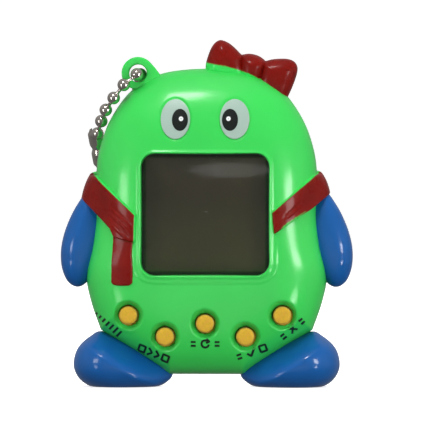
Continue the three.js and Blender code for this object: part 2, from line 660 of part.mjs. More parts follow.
place("screen_window", prism(screenOutline(WINDOW.over, 2.2), WINDOW.front, WINDOW.back), clear);
const lcdOutline = roundedRectangle(0, SCREEN.z, LCD.width, LCD.height, 0.3);
place("lcd_panel", prism(lcdOutline, LCD.front, LCD.back), liquidCrystal);
place("lcd_frame", lcdFrame(), whitePlastic);
place("lcd_zebra_strip", zebraStrip(), rubber);

place("circuit_board", circuitBoard(), boardGreen);
place("chip_blob", chipBlob(), blackPlastic);
place("crystal", crystal(), steel);
CAPACITORS.spots.forEach((spot, i) => {
  place(`capacitor_${i + 1}`, onBoard(spot, CAPACITORS.height), copper);
});
RESISTORS.spots.forEach((spot, i) => {
  place(`resistor_${i + 1}`, onBoard(spot, RESISTORS.height), blackPlastic);
});

place("keypad_mat", keypadMat(), yellow);
BUTTON_SPOTS.forEach((spot, i) => {
  place(`button_${i + 1}`, button(spot), yellow);
  place(`contact_pill_${i + 1}`, contactPill(spot), rubber);
});

const { z: buzzerZ, front: buzzerFront, thickness: buzzerThickness } = BUZZER;
place("buzzer_disc", bar(0, buzzerZ, BUZZER.radius, buzzerFront, buzzerFront + buzzerThickness, 24), brass);
place("buzzer_ceramic", bar(0, buzzerZ, BUZZER.ceramic, buzzerFront - 0.5, buzzerFront - GAP, 20), ceramic);
const redLead = [[5, 3.6, 15.8], [6, 2.6, 13.6], [6, 0.8, 11.8], [5.4, -0.9, 11]];
place("buzzer_wire_red", wire(redLead, LEAD_RADIUS, 6), redWire);
const blackLead = [[2, 3.2, 15.8], [1.8, 1.8, 13.6], [1.6, 0.6, 11.8], [1.4, -0.9, 11]];
place("buzzer_wire_black", wire(blackLead, LEAD_RADIUS, 6), rubber);

place("battery_contact_negative", contact(-1), steel);
place("battery_contact_positive", contact(1), steel);
place("battery_wire_black", batteryLead(-1), rubber);
place("battery_wire_red", batteryLead(1), redWire);
place("battery_bridge", bridge(), steel);
place("battery_door", batteryDoor(), green);

const doorSeat = backY(0, DOOR_SCREW.z) - DOOR_SCREW.sunk + GAP;
place("battery_door_screw", screw(0, DOOR_SCREW.z, { ...DOOR_SCREW, seat: doorSeat }), steel);
CASE_SCREWS.forEach(([x, z], i) => {
  place(`case_screw_${i + 1}`, screw(x, z, { ...CASE_SCREW, seat: CASE_SCREW.seat + GAP }), steel);
});
BOARD_SCREWS.forEach(([x, z], i) => {
  place(`board_screw_${i + 1}`, screw(x, z, BOARD_SCREW), steel);
});

place("key_chain", wire(CHAIN_ROUTE, BEAD_RADIUS, 40), steel);
place("chain_clasp", clasp(), steel);

// The origin is under the middle of the toy, without its chain.
const bounds = new THREE.Box3();
toy.children.filter(({ name }) => !name.includes("chain")).forEach((mesh) => bounds.expandByObject(mesh));
toy.position.y = -(bounds.min.y + bounds.max.y) / 2;

export default toy;
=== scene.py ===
"""Virtual pet keychain: the visible surfaces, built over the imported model.

Shapes are drawn in millimetres, with y = 0 in the parting plane of the two shells and the face
looking along -Y. piece() turns them into metres in the shared frame.
"""
import json
import math

import bmesh
import bpy
import numpy as np
from mathutils import Matrix, Vector


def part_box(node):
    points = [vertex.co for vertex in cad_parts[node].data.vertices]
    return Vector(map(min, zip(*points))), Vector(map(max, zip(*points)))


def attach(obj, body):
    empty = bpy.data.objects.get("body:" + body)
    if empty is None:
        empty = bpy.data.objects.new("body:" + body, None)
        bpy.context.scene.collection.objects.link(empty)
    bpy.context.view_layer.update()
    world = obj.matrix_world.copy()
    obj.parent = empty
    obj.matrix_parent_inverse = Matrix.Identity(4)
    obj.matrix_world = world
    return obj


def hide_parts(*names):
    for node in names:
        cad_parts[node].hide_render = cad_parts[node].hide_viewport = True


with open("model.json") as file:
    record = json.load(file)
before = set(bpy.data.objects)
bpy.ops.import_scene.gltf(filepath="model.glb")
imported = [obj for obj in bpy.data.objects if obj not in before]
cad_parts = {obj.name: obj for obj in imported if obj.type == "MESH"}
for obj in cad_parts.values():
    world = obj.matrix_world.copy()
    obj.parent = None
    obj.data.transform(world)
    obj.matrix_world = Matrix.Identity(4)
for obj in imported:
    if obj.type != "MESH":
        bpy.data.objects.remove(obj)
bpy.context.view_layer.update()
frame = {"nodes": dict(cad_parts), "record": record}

MM = 0.001


def cad_box(node):
    """The lowest and highest corner of a CAD node, in the drawing's millimetres."""
    return [np.array(corner) / MM - (0, SEAM, 0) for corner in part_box(node)]


SEAM = 0
SEAM = float(sum(corner[1] for corner in cad_box("flipper_left")) / 2)

# ---- Dimensions ----

# Right flank of the body, from the crown of the head to the hip. The shoulder is the same flank
# where the scarf stands out past it.
FLANK = [
    (0, 59.2), (7.5, 58.5), (12, 56.5), (15.1, 54), (18, 49.6), (19.7, 45.1),
    (20.5, 40.5), (20.7, 32.5), (21.5, 26.2), (22.4, 20.8), (21.5, 15.8), (19.7, 10.6),
]
HIP = FLANK[-1]
BELLY_CORNER = (7, 2.35)
HEART = (0, 31)
FRONT = {"depth": 9, "power": 4.4, "sign": -1}
REAR = {"depth": 8, "power": 3.6, "sign": 1}
PARTING = 0.06
WALL = 1.2

SCREEN = {"centre": (0, 32.1), "width": 23.6, "height": 22.4, "radius": 2.3}
LIP_WIDTH, LIP_RISE, LIP_CORNER = 1.4, 0.24, 0.25
WALL_DRAFT = 0.08
WINDOW_FRONT = cad_box("screen_window")[0][1]

BUTTON_SPOTS = [(-14.2, 13.5), (-7.4, 9.6), (0, 12), (7.4, 9.6), (14.2, 13.5)]
BUTTON_RADIUS = 1.65
DISH_RADIUS, DISH_FLOOR, DISH_DEPTH = 2.75, 1.95, 0.95
BORE_RADIUS, BORE_DEPTH = 1.88, 2

EYE_X, EYE_Z, EYE_RX, EYE_RZ, EYE_RISE = 5.46, 49.7, 2.72, 3.7, 0.15
PUPIL = {"inward": 0.85, "rx": 1.48, "rz": 2.04}

DOOR = {"centre": (0, 32.8), "width": 28.4, "height": 19.2, "radius": 3}
DOOR_GAP, DOOR_THICKNESS, EDGE_CORNER = 0.1, 1.3, 0.2
DOOR_SCREW = (0, 25.2)
CASE_SCREWS = [(-13, 47.5), (13, 47.5), (-17.5, 22.5), (17.5, 22.5)]
SCREW_WELL_RADIUS, SCREW_SEAT = 1.9, 2.2
SOUND_HOLES = [(0, 15.8), (2, 15.8), (-2, 15.8), (0, 17.8), (0, 13.8)]
SOUND_HOLE_RADIUS = 0.55

EYELET = {"x": -12.7, "z": 58.3, "radius": 3.05, "hole": 1.65, "front": -2.3}

BALL_RADIUS, BALL_PITCH, LINK_RADIUS = 1.2, 3.27, 0.34
CHAIN_ROUTE = [
    (-20.9, 4.4, 45.6), (-20.5, 3.1, 47.4), (-19.8, 1.4, 49.2), (-18.9, -0.9, 51.2), (-17.2, -3, 53.6),
    (-15.1, -4.1, 56.2), (-13.4, -4, 57.7), (-12.6, -3.2, 58.15), (-12.4, -2, 58.2), (-12.3, -0.2, 58.1),
    (-12.5, 2.6, 57.5), (-13.1, 5.4, 55),
    (-14.3, 6.8, 50.4), (-15.3, 7.6, 45), (-15.9, 8, 40), (-16.2, 8.2, 34), (-16, 8.3, 28), (-15, 8.5, 22),
    (-13.4, 8.7, 17), (-13.6, 8.4, 12.6), (-16.3, 7.4, 10.2), (-19, 6.7, 13), (-19.6, 6.6, 18),
    (-19.5, 6.8, 24), (-19.4, 7, 30), (-19.5, 7, 35), (-19.7, 6.6, 41.5),
]
CLASP_TOP, CLASP_BOTTOM = (-21.1, 3.9, 48), (-19.9, 6.4, 41)
FRONT_BALL = (-12.8, -3.6, 58.1)

# ---- Curves and numbers ----

CURVE_STEPS = 16


def smoothstep(low, high, value):
    """A soft step from 0 to 1, as the value goes from low to high."""
    t = np.clip((value - low) / (high - low), 0, 1)
    return t * t * (3 - 2 * t)


def unit(vectors):
    """Vectors cut to a length of one."""
    return vectors / np.maximum(np.linalg.norm(vectors, axis=-1, keepdims=True), 1e-9)


def distance_along(line):
    """How far along a line each of its points lies."""
    return np.concatenate([[0], np.cumsum(np.linalg.norm(np.diff(line, axis=0), axis=1))])


def rounded(distance, radius):
    """Height of a rounded edge, 0 to 1, at a distance in from it."""
    return np.sqrt(1 - (1 - np.clip(distance / radius, 0, 1)) ** 2)


def middle(low, high):
    """x and z of a box's middle."""
    return (low[0] + high[0]) / 2, (low[2] + high[2]) / 2


def full_turn(count):
    """Evenly spaced angles once round."""
    return np.linspace(0, 2 * math.pi, count, endpoint=False)


def ring(x, y, z, radius, turn):
    """Points round a line along Y. y and radius are one number or one for each angle."""
    return np.stack([x + radius * np.cos(turn), y + 0 * turn, z + radius * np.sin(turn)], axis=1)


def spokes(turn, side, up):
    """Directions at angles between two axes."""
    return np.cos(turn)[:, None] * np.array(side) + np.sin(turn)[:, None] * np.array(up)


def evenly(points, count, closed=False):
    """count points evenly spaced along a line of points."""
    line = np.vstack([points, points[:1]]) if closed else np.asarray(points, float)
    along = distance_along(line)
    stops = np.linspace(0, along[-1], count, endpoint=not closed)
    return np.stack([np.interp(stops, along, line[:, k]) for k in range(line.shape[1])], axis=1)


def spline(points, closed=False):
    """A Catmull-Rom curve through the points."""
    p = np.asarray(points, float)
    count = len(p)
    t = np.linspace(0, 1, CURVE_STEPS, endpoint=False)[:, None]
    out = []
    for i in range(count if closed else count - 1):
        if closed:
            a, b, c, d = (p[(i + k) % count] for k in (-1, 0, 1, 2))
        else:
            a, b, c, d = p[max(i - 1, 0)], p[i], p[i + 1], p[min(i + 2, count - 1)]
        out.append(0.5 * (2 * b + (c - a) * t + (2 * a - 5 * b + 4 * c - d) * t**2
                          + (3 * b - a - 3 * c + d) * t**3))
    if not closed:
        out.append(p[-1:])
    return np.vstack(out)


def ellipse(x, z, rx, rz, count):
    turn = full_turn(count)
    return np.stack([x + rx * np.cos(turn), z + rz * np.sin(turn)], axis=1)


def rounded_rectangle(centre, width, height, radius, count):
    corners = []
    for k, (sx, sz) in enumerate([(1, 1), (-1, 1), (-1, -1), (1, -1)]):
        turn = np.linspace(k, k + 1, 24) * math.pi / 2
        cx = centre[0] + sx * (width / 2 - radius)
        cz = centre[1] + sz * (height / 2 - radius)
        corners.append(np.stack([cx + radius * np.cos(turn), cz + radius * np.sin(turn)], axis=1))
    return evenly(np.vstack(corners), count, closed=True)


def polar(loop, centre):
    """A function that gives a loop's radius about a centre in each direction."""
    offset = np.asarray(loop) - centre
    turn = np.arctan2(offset[:, 1], offset[:, 0])
    order = np.argsort(turn)
    turn, radius = turn[order], np.linalg.norm(offset, axis=1)[order]
    return lambda angle: np.interp(angle, turn, radius, period=2 * math.pi)


def rectangle_distance(x, z, centre, width, height, radius):
    """Distance outside a rounded rectangle, negative inside."""
    qx = np.abs(x - centre[0]) - width / 2 + radius
    qz = np.abs(z - centre[1]) - height / 2 + radius
    outside = np.hypot(np.maximum(qx, 0), np.maximum(qz, 0))
    return outside + np.minimum(np.maximum(qx, qz), 0) - radius


# ---- The body's form ----


def body_outline():
    """The silhouette of the body, without its scarf, bow and eyelet."""
    flank = FLANK[::-1] + [(-x, z) for x, z in FLANK[1:]]
    over = spline(flank)
    straight = [(-BELLY_CORNER[0], BELLY_CORNER[1]), BELLY_CORNER, HIP]
    under = evenly([(-HIP[0], HIP[1])] + straight, 400)
    return np.vstack([over, under[1:-1]])


def softened(reach, spread):
    """The same radius function with its corners rounded over a spread of degrees."""
    turn = np.radians(np.arange(-180, 180, 0.5))
    radius = reach(turn)
    near = np.arange(-spread, spread + 0.1, 0.5)
    weight = np.cos(near / spread * math.pi / 2) ** 2
    mean = sum(w * np.roll(radius, int(2 * shift)) for w, shift in zip(weight, near)) / weight.sum()
    return lambda angle: np.interp(angle, turn, mean, period=2 * math.pi)


OUTLINE = body_outline()
REACH = polar(OUTLINE, HEART)
SOFT_REACH = softened(REACH, 16)


def share(x, z):
    """How far out a point lies: 0 at the heart of the body, 1 on its outline. Corners soften inwards."""
    dx, dz = np.asarray(x, float) - HEART[0], np.asarray(z, float) - HEART[1]
    r, turn = np.hypot(dx, dz), np.arctan2(dz, dx)
    sharp = r / REACH(turn)
    return sharp + (r / SOFT_REACH(turn) - sharp) * (1 - smoothstep(0.55, 1, sharp))


def dome(x, z, side):
    """y of the body's front or rear surface at x and z."""
    return side["sign"] * side["depth"] * np.sqrt(np.clip(1 - share(x, z) ** side["power"], 0, 1))


def from_heart(x, z, ratio):
    """x and z drawn towards the heart or away from it."""
    return HEART[0] + (x - HEART[0]) * ratio, HEART[1] + (z - HEART[1]) * ratio


def radial_grid(centre, inner, outer, columns, rows, crowd=0.0):
    """Points from an inner loop out to an outer loop, as x and z of shape (rows, columns)."""
    rim = evenly(outer, columns, closed=True)
    turn = np.arctan2(rim[:, 1] - centre[1], rim[:, 0] - centre[0])
    start = polar(inner, centre)(turn)[None, :]
    end = np.hypot(rim[:, 0] - centre[0], rim[:, 1] - centre[1])[None, :]
    t = np.linspace(0, 1, rows)[:, None]
    t = (1 - crowd) * t + crowd * np.sin(t * math.pi / 2)
    radius = start + (end - start) * t
    return centre[0] + radius * np.cos(turn), centre[1] + radius * np.sin(turn)


def gather(x, z, spots, radius, width):
    """Draws grid points within width of circles towards them, so that their edges come out round."""
    for spot in spots:
        dx, dz = x - spot[0], z - spot[1]
        r = np.hypot(dx, dz)
        off = r - radius
        moved = np.where(np.abs(off) < width, radius + off * np.abs(off) / width, r) / np.maximum(r, 1e-6)
        x, z = spot[0] + dx * moved, spot[1] + dz * moved
    return x, z


# ---- Meshes ----


def sheet_faces(rows, columns, closed_rows, closed_columns):
    """Quads of a grid of rows and columns, joined round where closed."""
    r = np.arange(rows if closed_rows else rows - 1)[:, None]
    c = np.arange(columns if closed_columns else columns - 1)[None, :]
    r2, c2 = (r + 1) % rows, (c + 1) % columns
    quads = np.stack([r * columns + c, r * columns + c2, r2 * columns + c2, r2 * columns + c], axis=-1)
    return quads.reshape(-1, 4)


def joined(grids, closed_rows, closed_columns):
    """Points and faces of several grids as one mesh."""
    faces, base = [], 0
    for grid in grids:
        faces.append(sheet_faces(*grid.shape[:2], closed_rows, closed_columns) + base)
        base += grid.shape[0] * grid.shape[1]
    return np.vstack([grid.reshape(-1, 3) for grid in grids]), np.vstack(faces)


def mesh_of(name, points, faces):
    """A mesh of points in metres."""
    mesh = bpy.data.meshes.new(name)
    mesh.from_pydata(points.reshape(-1, 3).tolist(), [], [tuple(face) for face in faces])
    return mesh


def show(name, data):
    """A new object in the scene."""
    made = bpy.data.objects.new(name, data)
    bpy.context.scene.collection.objects.link(made)
    return made


def piece(name, points, faces, material, slot, replaces, body="case", sharp=35, paint=None):
    """A mesh drawn in millimetres, riding on a body."""
    mesh = mesh_of(name, (np.asarray(points, float) + (0, SEAM, 0)) * MM, faces)
    if paint is not None:
        cover = mesh.attributes.new("paint", "FLOAT", "POINT")
        cover.data.foreach_set("value", np.asarray(paint, np.float32).ravel())
    form = bmesh.new()
    form.from_mesh(mesh)
    bmesh.ops.remove_doubles(form, verts=form.verts, dist=1e-7)
    bmesh.ops.dissolve_degenerate(form, edges=form.edges, dist=1e-8)
    bmesh.ops.recalc_face_normals(form, faces=form.faces)
    form.to_mesh(mesh)
    form.free()
    mesh.shade_smooth()
    mesh.set_sharp_from_angle(angle=math.radians(sharp))
    mesh.materials.append(material)
    made = show(name, mesh)
    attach(made, body)
    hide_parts(*replaces)
    return made


def loft(name, rows, material, slot, closed_rows=False, closed_columns=True, **settings):
    """A piece through rows of points of one length."""
    grid = np.asarray(rows, float)
    faces = sheet_faces(grid.shape[0], grid.shape[1], closed_rows, closed_columns)
    return piece(name, grid, faces, material, slot, **settings)


def turned(name, x, z, profile, material, slot, sides, **settings):
    """A lathe about a line along Y: the profile is radius and y."""
    rows = [ring(x, y, z, r, full_turn(sides)) for r, y in profile]
    loft(name, rows, material, slot, **settings)


def pebble_rows(outline, centre, front, rear, power, rings):
    """Rings of an outline that close in on a centre, domed forwards and backwards."""
    cx, cz = centre
    rows = []
    for turn in np.linspace(0, math.pi, 2 * rings + 1):
        scale = max(math.sin(turn), 0) ** (2 / power)
        depth = front if turn < math.pi / 2 else rear
        rows.append(np.stack([
            cx + (outline[:, 0] - cx) * scale,
            np.full(len(outline), -depth * math.cos(turn)),
            cz + (outline[:, 1] - cz) * scale,
        ], axis=1))
    return np.array(rows)


def tube_rows(path, radii, sides):
    """Rings of a tube along a path, with a radius for each point of the path."""
    heading = unit(np.gradient(path, axis=0))
    side = np.cross(heading[0], (0.3, 0.9, 0.1))
    rows = []
    for spot, ahead, radius in zip(path, heading, radii):
        side = unit(side - ahead * np.dot(side, ahead))
        rows.append(spot + radius * spokes(full_turn(sides), side, np.cross(ahead, side)))
    return np.array(rows)


# ---- Materials ----


def linear(colour):
    """A colour from sRGB 0-255 to linear."""
    c = np.array(colour) / 255
    return (*np.where(c <= 0.04045, c / 12.92, ((c + 0.055) / 1.055) ** 2.4), 1)


def feed(node, inputs):
    """Links or sets a node's inputs, by their names or numbers."""
    for key, value in inputs.items():
        socket = node.inputs[key.replace("_", " ") if isinstance(key, str) else key]
        if isinstance(value, bpy.types.NodeSocket):
            node.id_data.links.new(value, socket)
        else:
            socket.default_value = value


class Shader:
    """A Principled material with its node tree at hand."""

    def __init__(self, name, roughness, **constants):
        self.material = bpy.data.materials.new(name)
        self.material.use_nodes = True
        self.tree = self.material.node_tree
        self.principled = self.tree.nodes["Principled BSDF"]
        feed(self.principled, {"Roughness": roughness, **constants})
        self.place = self.tree.nodes.new("ShaderNodeTexCoord").outputs["Object"]

    def node(self, kind, **inputs):
        made = self.tree.nodes.new(kind)
        feed(made, inputs)
        return made

    def noise(self, size, detail=3.0):
        """Noise with features of about this size in millimetres."""
        made = self.node("ShaderNodeTexNoise", Vector=self.place, Scale=1 / (size * MM), Detail=detail)
        return made.outputs["Fac"]

    def attribute(self, name):
        """A number stored on the mesh."""
        made = self.node("ShaderNodeAttribute")
        made.attribute_name = name
        return made.outputs["Fac"]

    def remap(self, value, low, high, start=0.3, end=0.7):
        """Low to high, as the value goes from start to end."""
        made = self.node("ShaderNodeMapRange", Value=value, From_Min=start, From_Max=end, To_Min=low,
                         To_Max=high)
        return made.outputs["Result"]

    def mix(self, factor, first, second):
        made = self.tree.nodes.new("ShaderNodeMix")
        made.data_type = "RGBA"
        feed(made, {0: factor, 6: first, 7: second})
        return made.outputs[2]

    def tone(self, colour, spread, size):
        """The colour, varied a little from place to place."""
        base = np.array(linear(colour)[:3])
        dark, light = (*(base * (1 - spread)), 1), (*np.minimum(base * (1 + spread), 1), 1)
        return self.mix(self.remap(self.noise(size), 0, 1), dark, light)

    def worn(self, colour, edge_colour, start, end, most):
        """The colour, rubbed towards another one along outer edges."""
        edges = self.node("ShaderNodeNewGeometry").outputs["Pointiness"]
        return self.mix(self.remap(edges, 0, most, start, end), colour, edge_colour)

    def paint(self, colour):
        feed(self.principled, {"Base Color": colour})

    def rough(self, low, high, size):
        feed(self.principled, {"Roughness": self.remap(self.noise(size, 4), low, high)})

    def bump(self, size, height, strength=1.0, detail=2.0):
        """Raised grain of a size and a height in millimetres."""
        made = self.node("ShaderNodeBump", Height=self.noise(size, detail), Strength=strength,
                         Distance=height * MM)
        feed(self.principled, {"Normal": made.outputs["Normal"]})


def plastic(name, colour, low, high, spread=0.04, grain=0.6, height=0.004, **constants):
    """Moulded plastic: soft variation of colour and gloss, and a faint orange peel."""
    shader = Shader(name, (low + high) / 2, **constants)
    shader.paint(shader.tone(colour, spread, 9))
    shader.rough(low, high, 4)
    shader.bump(grain, height)
    return shader.material


def metal(name, colour, low, high):
    """Plated metal with uneven gloss and a trace of dirt."""
    shader = Shader(name, (low + high) / 2, Metallic=1.0)
    shader.paint(shader.tone(colour, 0.09, 1.5))
    shader.rough(low, high, 0.8)
    shader.bump(0.3, 0.002)
    return shader.material


def painted(name, paint_colour, under_colour, low, high):
    """Sprayed paint over plastic: it thins out where the paint attribute falls."""
    shader = Shader(name, (low + high) / 2, Coat_Weight=0.12, Coat_Roughness=0.08, Specular_IOR_Level=0.1)
    ragged = shader.node("ShaderNodeMath", Value=shader.noise(0.7, 4))
    ragged.operation = "MULTIPLY_ADD"
    feed(ragged, {1: 0.5, 2: shader.attribute("paint")})
    film = shader.remap(ragged.outputs[0], 0, 1, 0.45, 0.95)
    thin = shader.mix(0.5, linear(under_colour), linear(paint_colour))
    under = shader.mix(shader.remap(film, 0, 1, 0.0, 0.6), linear(under_colour), thin)
    shader.paint(shader.mix(shader.remap(film, 0, 1, 0.45, 1), under, shader.tone(paint_colour, 0.12, 3)))
    shader.rough(low, high, 2)
    shader.bump(0.5, 0.006)
    return shader.material


def silicone(name, colour):
    """Matte silicone rubber with a fine fuzz of dust."""
    shader = Shader(name, 0.62, Sheen_Weight=0.25, Sheen_Roughness=0.5, Specular_IOR_Level=0.35)
    tone = shader.tone(colour, 0.09, 0.35)
    shader.paint(shader.worn(tone, linear((206, 150, 50)), 0.5, 0.6, 0.5))
    shader.rough(0.5, 0.8, 0.5)
    shader.bump(0.22, 0.02, 0.8, 4)
    return shader.material


GREEN = plastic("green_plastic", (52, 205, 82), 0.3, 0.4, 0.03, Coat_Weight=0.55, Coat_Roughness=0.17,
                Specular_IOR_Level=0.3)
BLUE = plastic("blue_plastic", (14, 86, 156), 0.3, 0.42, 0.05, Coat_Weight=0.6, Coat_Roughness=0.14,
               Specular_IOR_Level=0.12)
RED = painted("red_paint", (118, 17, 10), (52, 208, 86), 0.22, 0.38)
YELLOW = silicone("yellow_silicone", (203, 161, 32))
EYE_WHITE = plastic("eye_white", (156, 180, 168), 0.3, 0.42, 0.03, 0.25, 0.004)
INK = plastic("ink", (14, 30, 18), 0.4, 0.6, 0.1, 0.2, 0.003)
PUPIL_INK = plastic("pupil_ink", (20, 28, 24), 0.4, 0.55, 0.06, 0.3, 0.002, Specular_IOR_Level=0.2)
GLINT = plastic("eye_glint", (228, 233, 230), 0.35, 0.5, 0.03, 0.25, 0.003)
STEEL = metal("nickel", (208, 200, 192), 0.06, 0.16)
DULL_STEEL = metal("dull_nickel", (176, 178, 182), 0.2, 0.36)
BRASS = metal("brass_sheet", (201, 165, 78), 0.22, 0.4)
COPPER = metal("copper_tone", (184, 138, 74), 0.25, 0.45)
WHITE = plastic("white_plastic", (230, 228, 220), 0.35, 0.5)
BLACK = plastic("black_epoxy", (24, 24, 26), 0.15, 0.3, 0.08, 1.2, 0.03)
BOARD = plastic("solder_resist", (29, 91, 53), 0.3, 0.45, 0.12, 0.5, 0.006)
RUBBER = plastic("black_rubber", (44, 44, 46), 0.65, 0.85, 0.1, 0.15, 0.01)
CERAMIC = plastic("fired_ceramic", (233, 231, 224), 0.4, 0.6, 0.04, 0.2, 0.004)
RED_WIRE = plastic("red_wire", (179, 34, 31), 0.35, 0.5)

# ---- Camera ----

VIEW_CENTRE = Vector((1.7, SEAM - 4, 32)) * MM
VIEW_WIDTH, VIEW_DISTANCE = 0.0796, 0.75
VIEW_AZIMUTH, VIEW_ELEVATION = math.radians(2), math.radians(0.5)

camera_data = bpy.data.cameras.new("camera")
camera_data.angle = 2 * math.atan(VIEW_WIDTH / 2 / VIEW_DISTANCE)
camera_data.clip_start = 0.01
camera = show("camera", camera_data)
away = Vector((math.sin(VIEW_AZIMUTH), -math.cos(VIEW_AZIMUTH), math.tan(VIEW_ELEVATION))).normalized()
camera.location = VIEW_CENTRE + away * VIEW_DISTANCE
camera.rotation_euler = (-away).to_track_quat("-Z", "Y").to_euler()
bpy.context.scene.camera = camera

# ---- Chain ----

BALL_SIDES, BALL_RINGS = 24, 15


def sphere_rows(centre, axis, radius, neck):
    """Rings of a hollow ball about an axis, drawn in to the link's holes at both ends."""
    axis = Vector(axis).normalized()
    side = axis.orthogonal().normalized()
    around, axis = spokes(full_turn(BALL_SIDES), side, axis.cross(side)), np.array(axis)
    first = math.asin(neck / radius)
    rows = [centre + axis * radius * math.cos(fall) + around * radius * math.sin(fall)
            for fall in np.linspace(first, math.pi - first, BALL_RINGS)]
    inward = 0.8 * axis * radius * math.cos(first)
    ends = [np.tile(centre + inward, (BALL_SIDES, 1)), np.tile(centre - inward, (BALL_SIDES, 1))]
    return np.array([ends[0], *rows, ends[1]])


def ball_chain():
    """Balls and their links along the route, with one ball at the place the photograph shows."""
    path = evenly(spline(CHAIN_ROUTE), 600)
    along = distance_along(path)
    first = along[np.argmin(np.linalg.norm(path - FRONT_BALL, axis=1))] % BALL_PITCH
    stops = np.arange(first, along[-1], BALL_PITCH)
    spots = np.stack([np.interp(stops, along, path[:, k]) for k in range(3)], axis=1)
    strands = [sphere_rows(spot, ahead, BALL_RADIUS, LINK_RADIUS * 1.25)
               for spot, ahead in zip(spots, np.gradient(spots, axis=0))]
    flare = 1 + 0.35 * np.abs(np.linspace(-1, 1, 9)) ** 3
    for start, end in zip(spots[:-1], spots[1:]):
        line = start + (end - start) * np.linspace(0.2, 0.8, 9)[:, None]
        strands.append(tube_rows(line, LINK_RADIUS * flare, BALL_SIDES))
    made = piece("chain_balls", *joined(strands, False, True), STEEL, "steel", replaces=["key_chain"],
                 sharp=50)
    return made, (path + (0, SEAM, 0)) * MM


def rolled_clasp():
    """The clasp: a sheet rolled round the last balls, open along one side, with necks at its ends."""
    top, bottom = Vector(CLASP_TOP), Vector(CLASP_BOTTOM)
    axis = (top - bottom).normalized()
    side = axis.cross(Vector((1, 0, 0))).normalized()
    length = (top - bottom).length
    mouth = math.radians(38)
    turn = np.linspace(mouth, 2 * math.pi - mouth, 40)
    around = spokes(turn, side, axis.cross(side))

    def rows(radius, stops):
        made = []
        for t in stops:
            pinch = 1 - 0.22 * math.exp(-((t - 0.5) / 0.07) ** 2)
            pinch -= 0.3 * (smoothstep(0.12, 0, t) + smoothstep(0.88, 1, t))
            made.append(np.array(bottom + axis * length * t) + around * radius * pinch)
        return made

    stops = np.linspace(0, 1, 41)
    shell = np.array(rows(1.5, stops) + rows(1.27, stops[::-1]))
    return loft("clasp_sheet", shell, STEEL, "steel", closed_rows=True, closed_columns=False,
                replaces=["chain_clasp"])


chain, chain_path = ball_chain()
clasp = rolled_clasp()

# ---- Shells ----

SHELL_COLUMNS, FACE_ROWS, INNER_ROWS = 620, 96, 50
TONGUE = {"outer": 0.45, "inner": 0.9, "top": 0.5}
LEDGE_WIDTH, DOOR_CLEARANCE = 1.1, 0.3


def wells(x, z, y, spots, radius, drop=0, floor=None):
    """Sinks round wells with steep walls into a surface, by a drop or down to the y of a floor."""
    for spot in spots:
        r = np.hypot(x - spot[0], z - spot[1])
        depth = drop if floor is None else floor - y
        y = y + depth * (1 - smoothstep(radius - 0.05, radius + 0.05, r))
    return y


def inner_rows(x, z, side):
    """Rows of a shell's inner skin, from its rim back to the loop that its face starts at."""
    t = np.linspace(0, 1, INNER_ROWS)[:, None]
    reach = np.hypot(x[-1] - HEART[0], z[-1] - HEART[1])
    rim_x, rim_z = from_heart(x[-1], z[-1], 1 - WALL / reach)
    xs = rim_x + (x[0] - rim_x) * t**1.2
    zs = rim_z + (z[0] - rim_z) * t**1.2
    grown = share(xs, zs) / share(rim_x, rim_z)[None, :]
    ys = side["sign"] * (side["depth"] - WALL) * np.sqrt(np.clip(1 - grown ** side["power"], 0, 1))
    if side is FRONT:
        ys = wells(xs, zs, ys, BUTTON_SPOTS, BORE_RADIUS + 0.9, drop=DISH_DEPTH + BORE_DEPTH)
        ys = np.minimum(ys, -PARTING)
    else:
        ys = wells(xs, zs, ys, CASE_SCREWS, SCREW_WELL_RADIUS + 0.8, floor=SCREW_SEAT - 0.8)
        ys = wells(xs, zs, ys, SOUND_HOLES, SOUND_HOLE_RADIUS + 0.5, drop=-1)
        ys = np.maximum(ys, PARTING)
    skin = list(np.stack([xs, ys, zs], axis=-1))
    if side is REAR:
        return skin
    tongue = []
    outer, inner, top = TONGUE.values()
    for inset, y in ((outer, -PARTING), (outer, top), (inner, top), (inner, -PARTING)):
        inset_x, inset_z = from_heart(x[-1], z[-1], 1 - inset / reach)
        tongue.append(np.stack([inset_x, np.full(len(reach), y), inset_z], axis=1))
    return tongue + skin


def front_relief(x, z):
    """How far the face stands out of the plain dome."""
    off_screen = rectangle_distance(x, z, *SCREEN.values())
    height = LIP_RISE * (1 - smoothstep(0.05, 0.9, off_screen))
    ledge = smoothstep(SCREEN["centre"][1] - 4, SCREEN["centre"][1] - 9, z)
    height += 0.12 * ledge * (1 - smoothstep(LIP_WIDTH - 0.1, LIP_WIDTH + 0.35, off_screen))
    for spot in BUTTON_SPOTS:
        r = np.hypot(x - spot[0], z - spot[1])
        height -= DISH_DEPTH * (1 - smoothstep(DISH_FLOOR, DISH_RADIUS + 0.12, r))
        height -= BORE_DEPTH * (1 - smoothstep(BORE_RADIUS - 0.06, BORE_RADIUS + 0.06, r))
    for side in (-1, 1):
        dx, dz = (x - side * EYE_X) / EYE_RX, (z - EYE_Z) / EYE_RZ
        off = (np.hypot(dx, dz) - 1) * (EYE_RX + EYE_RZ) / 2
        height -= 0.16 * np.exp(-((off - 0.05) / 0.2) ** 2)
    return height


def rounded_edge(face_row, centre, corner, side):
    """Rows that turn from a face's first row down into its opening, from the opening outwards."""
    outward = unit((face_row - (centre[0], 0, centre[1])) * (1, 0, 1))
    turns = np.linspace(math.pi / 2, 0, 6)[:-1]
    rows = [face_row - outward * corner * math.sin(t) - (0, side["sign"] * corner * (1 - math.cos(t)), 0)
            for t in turns]
    return outward, rows


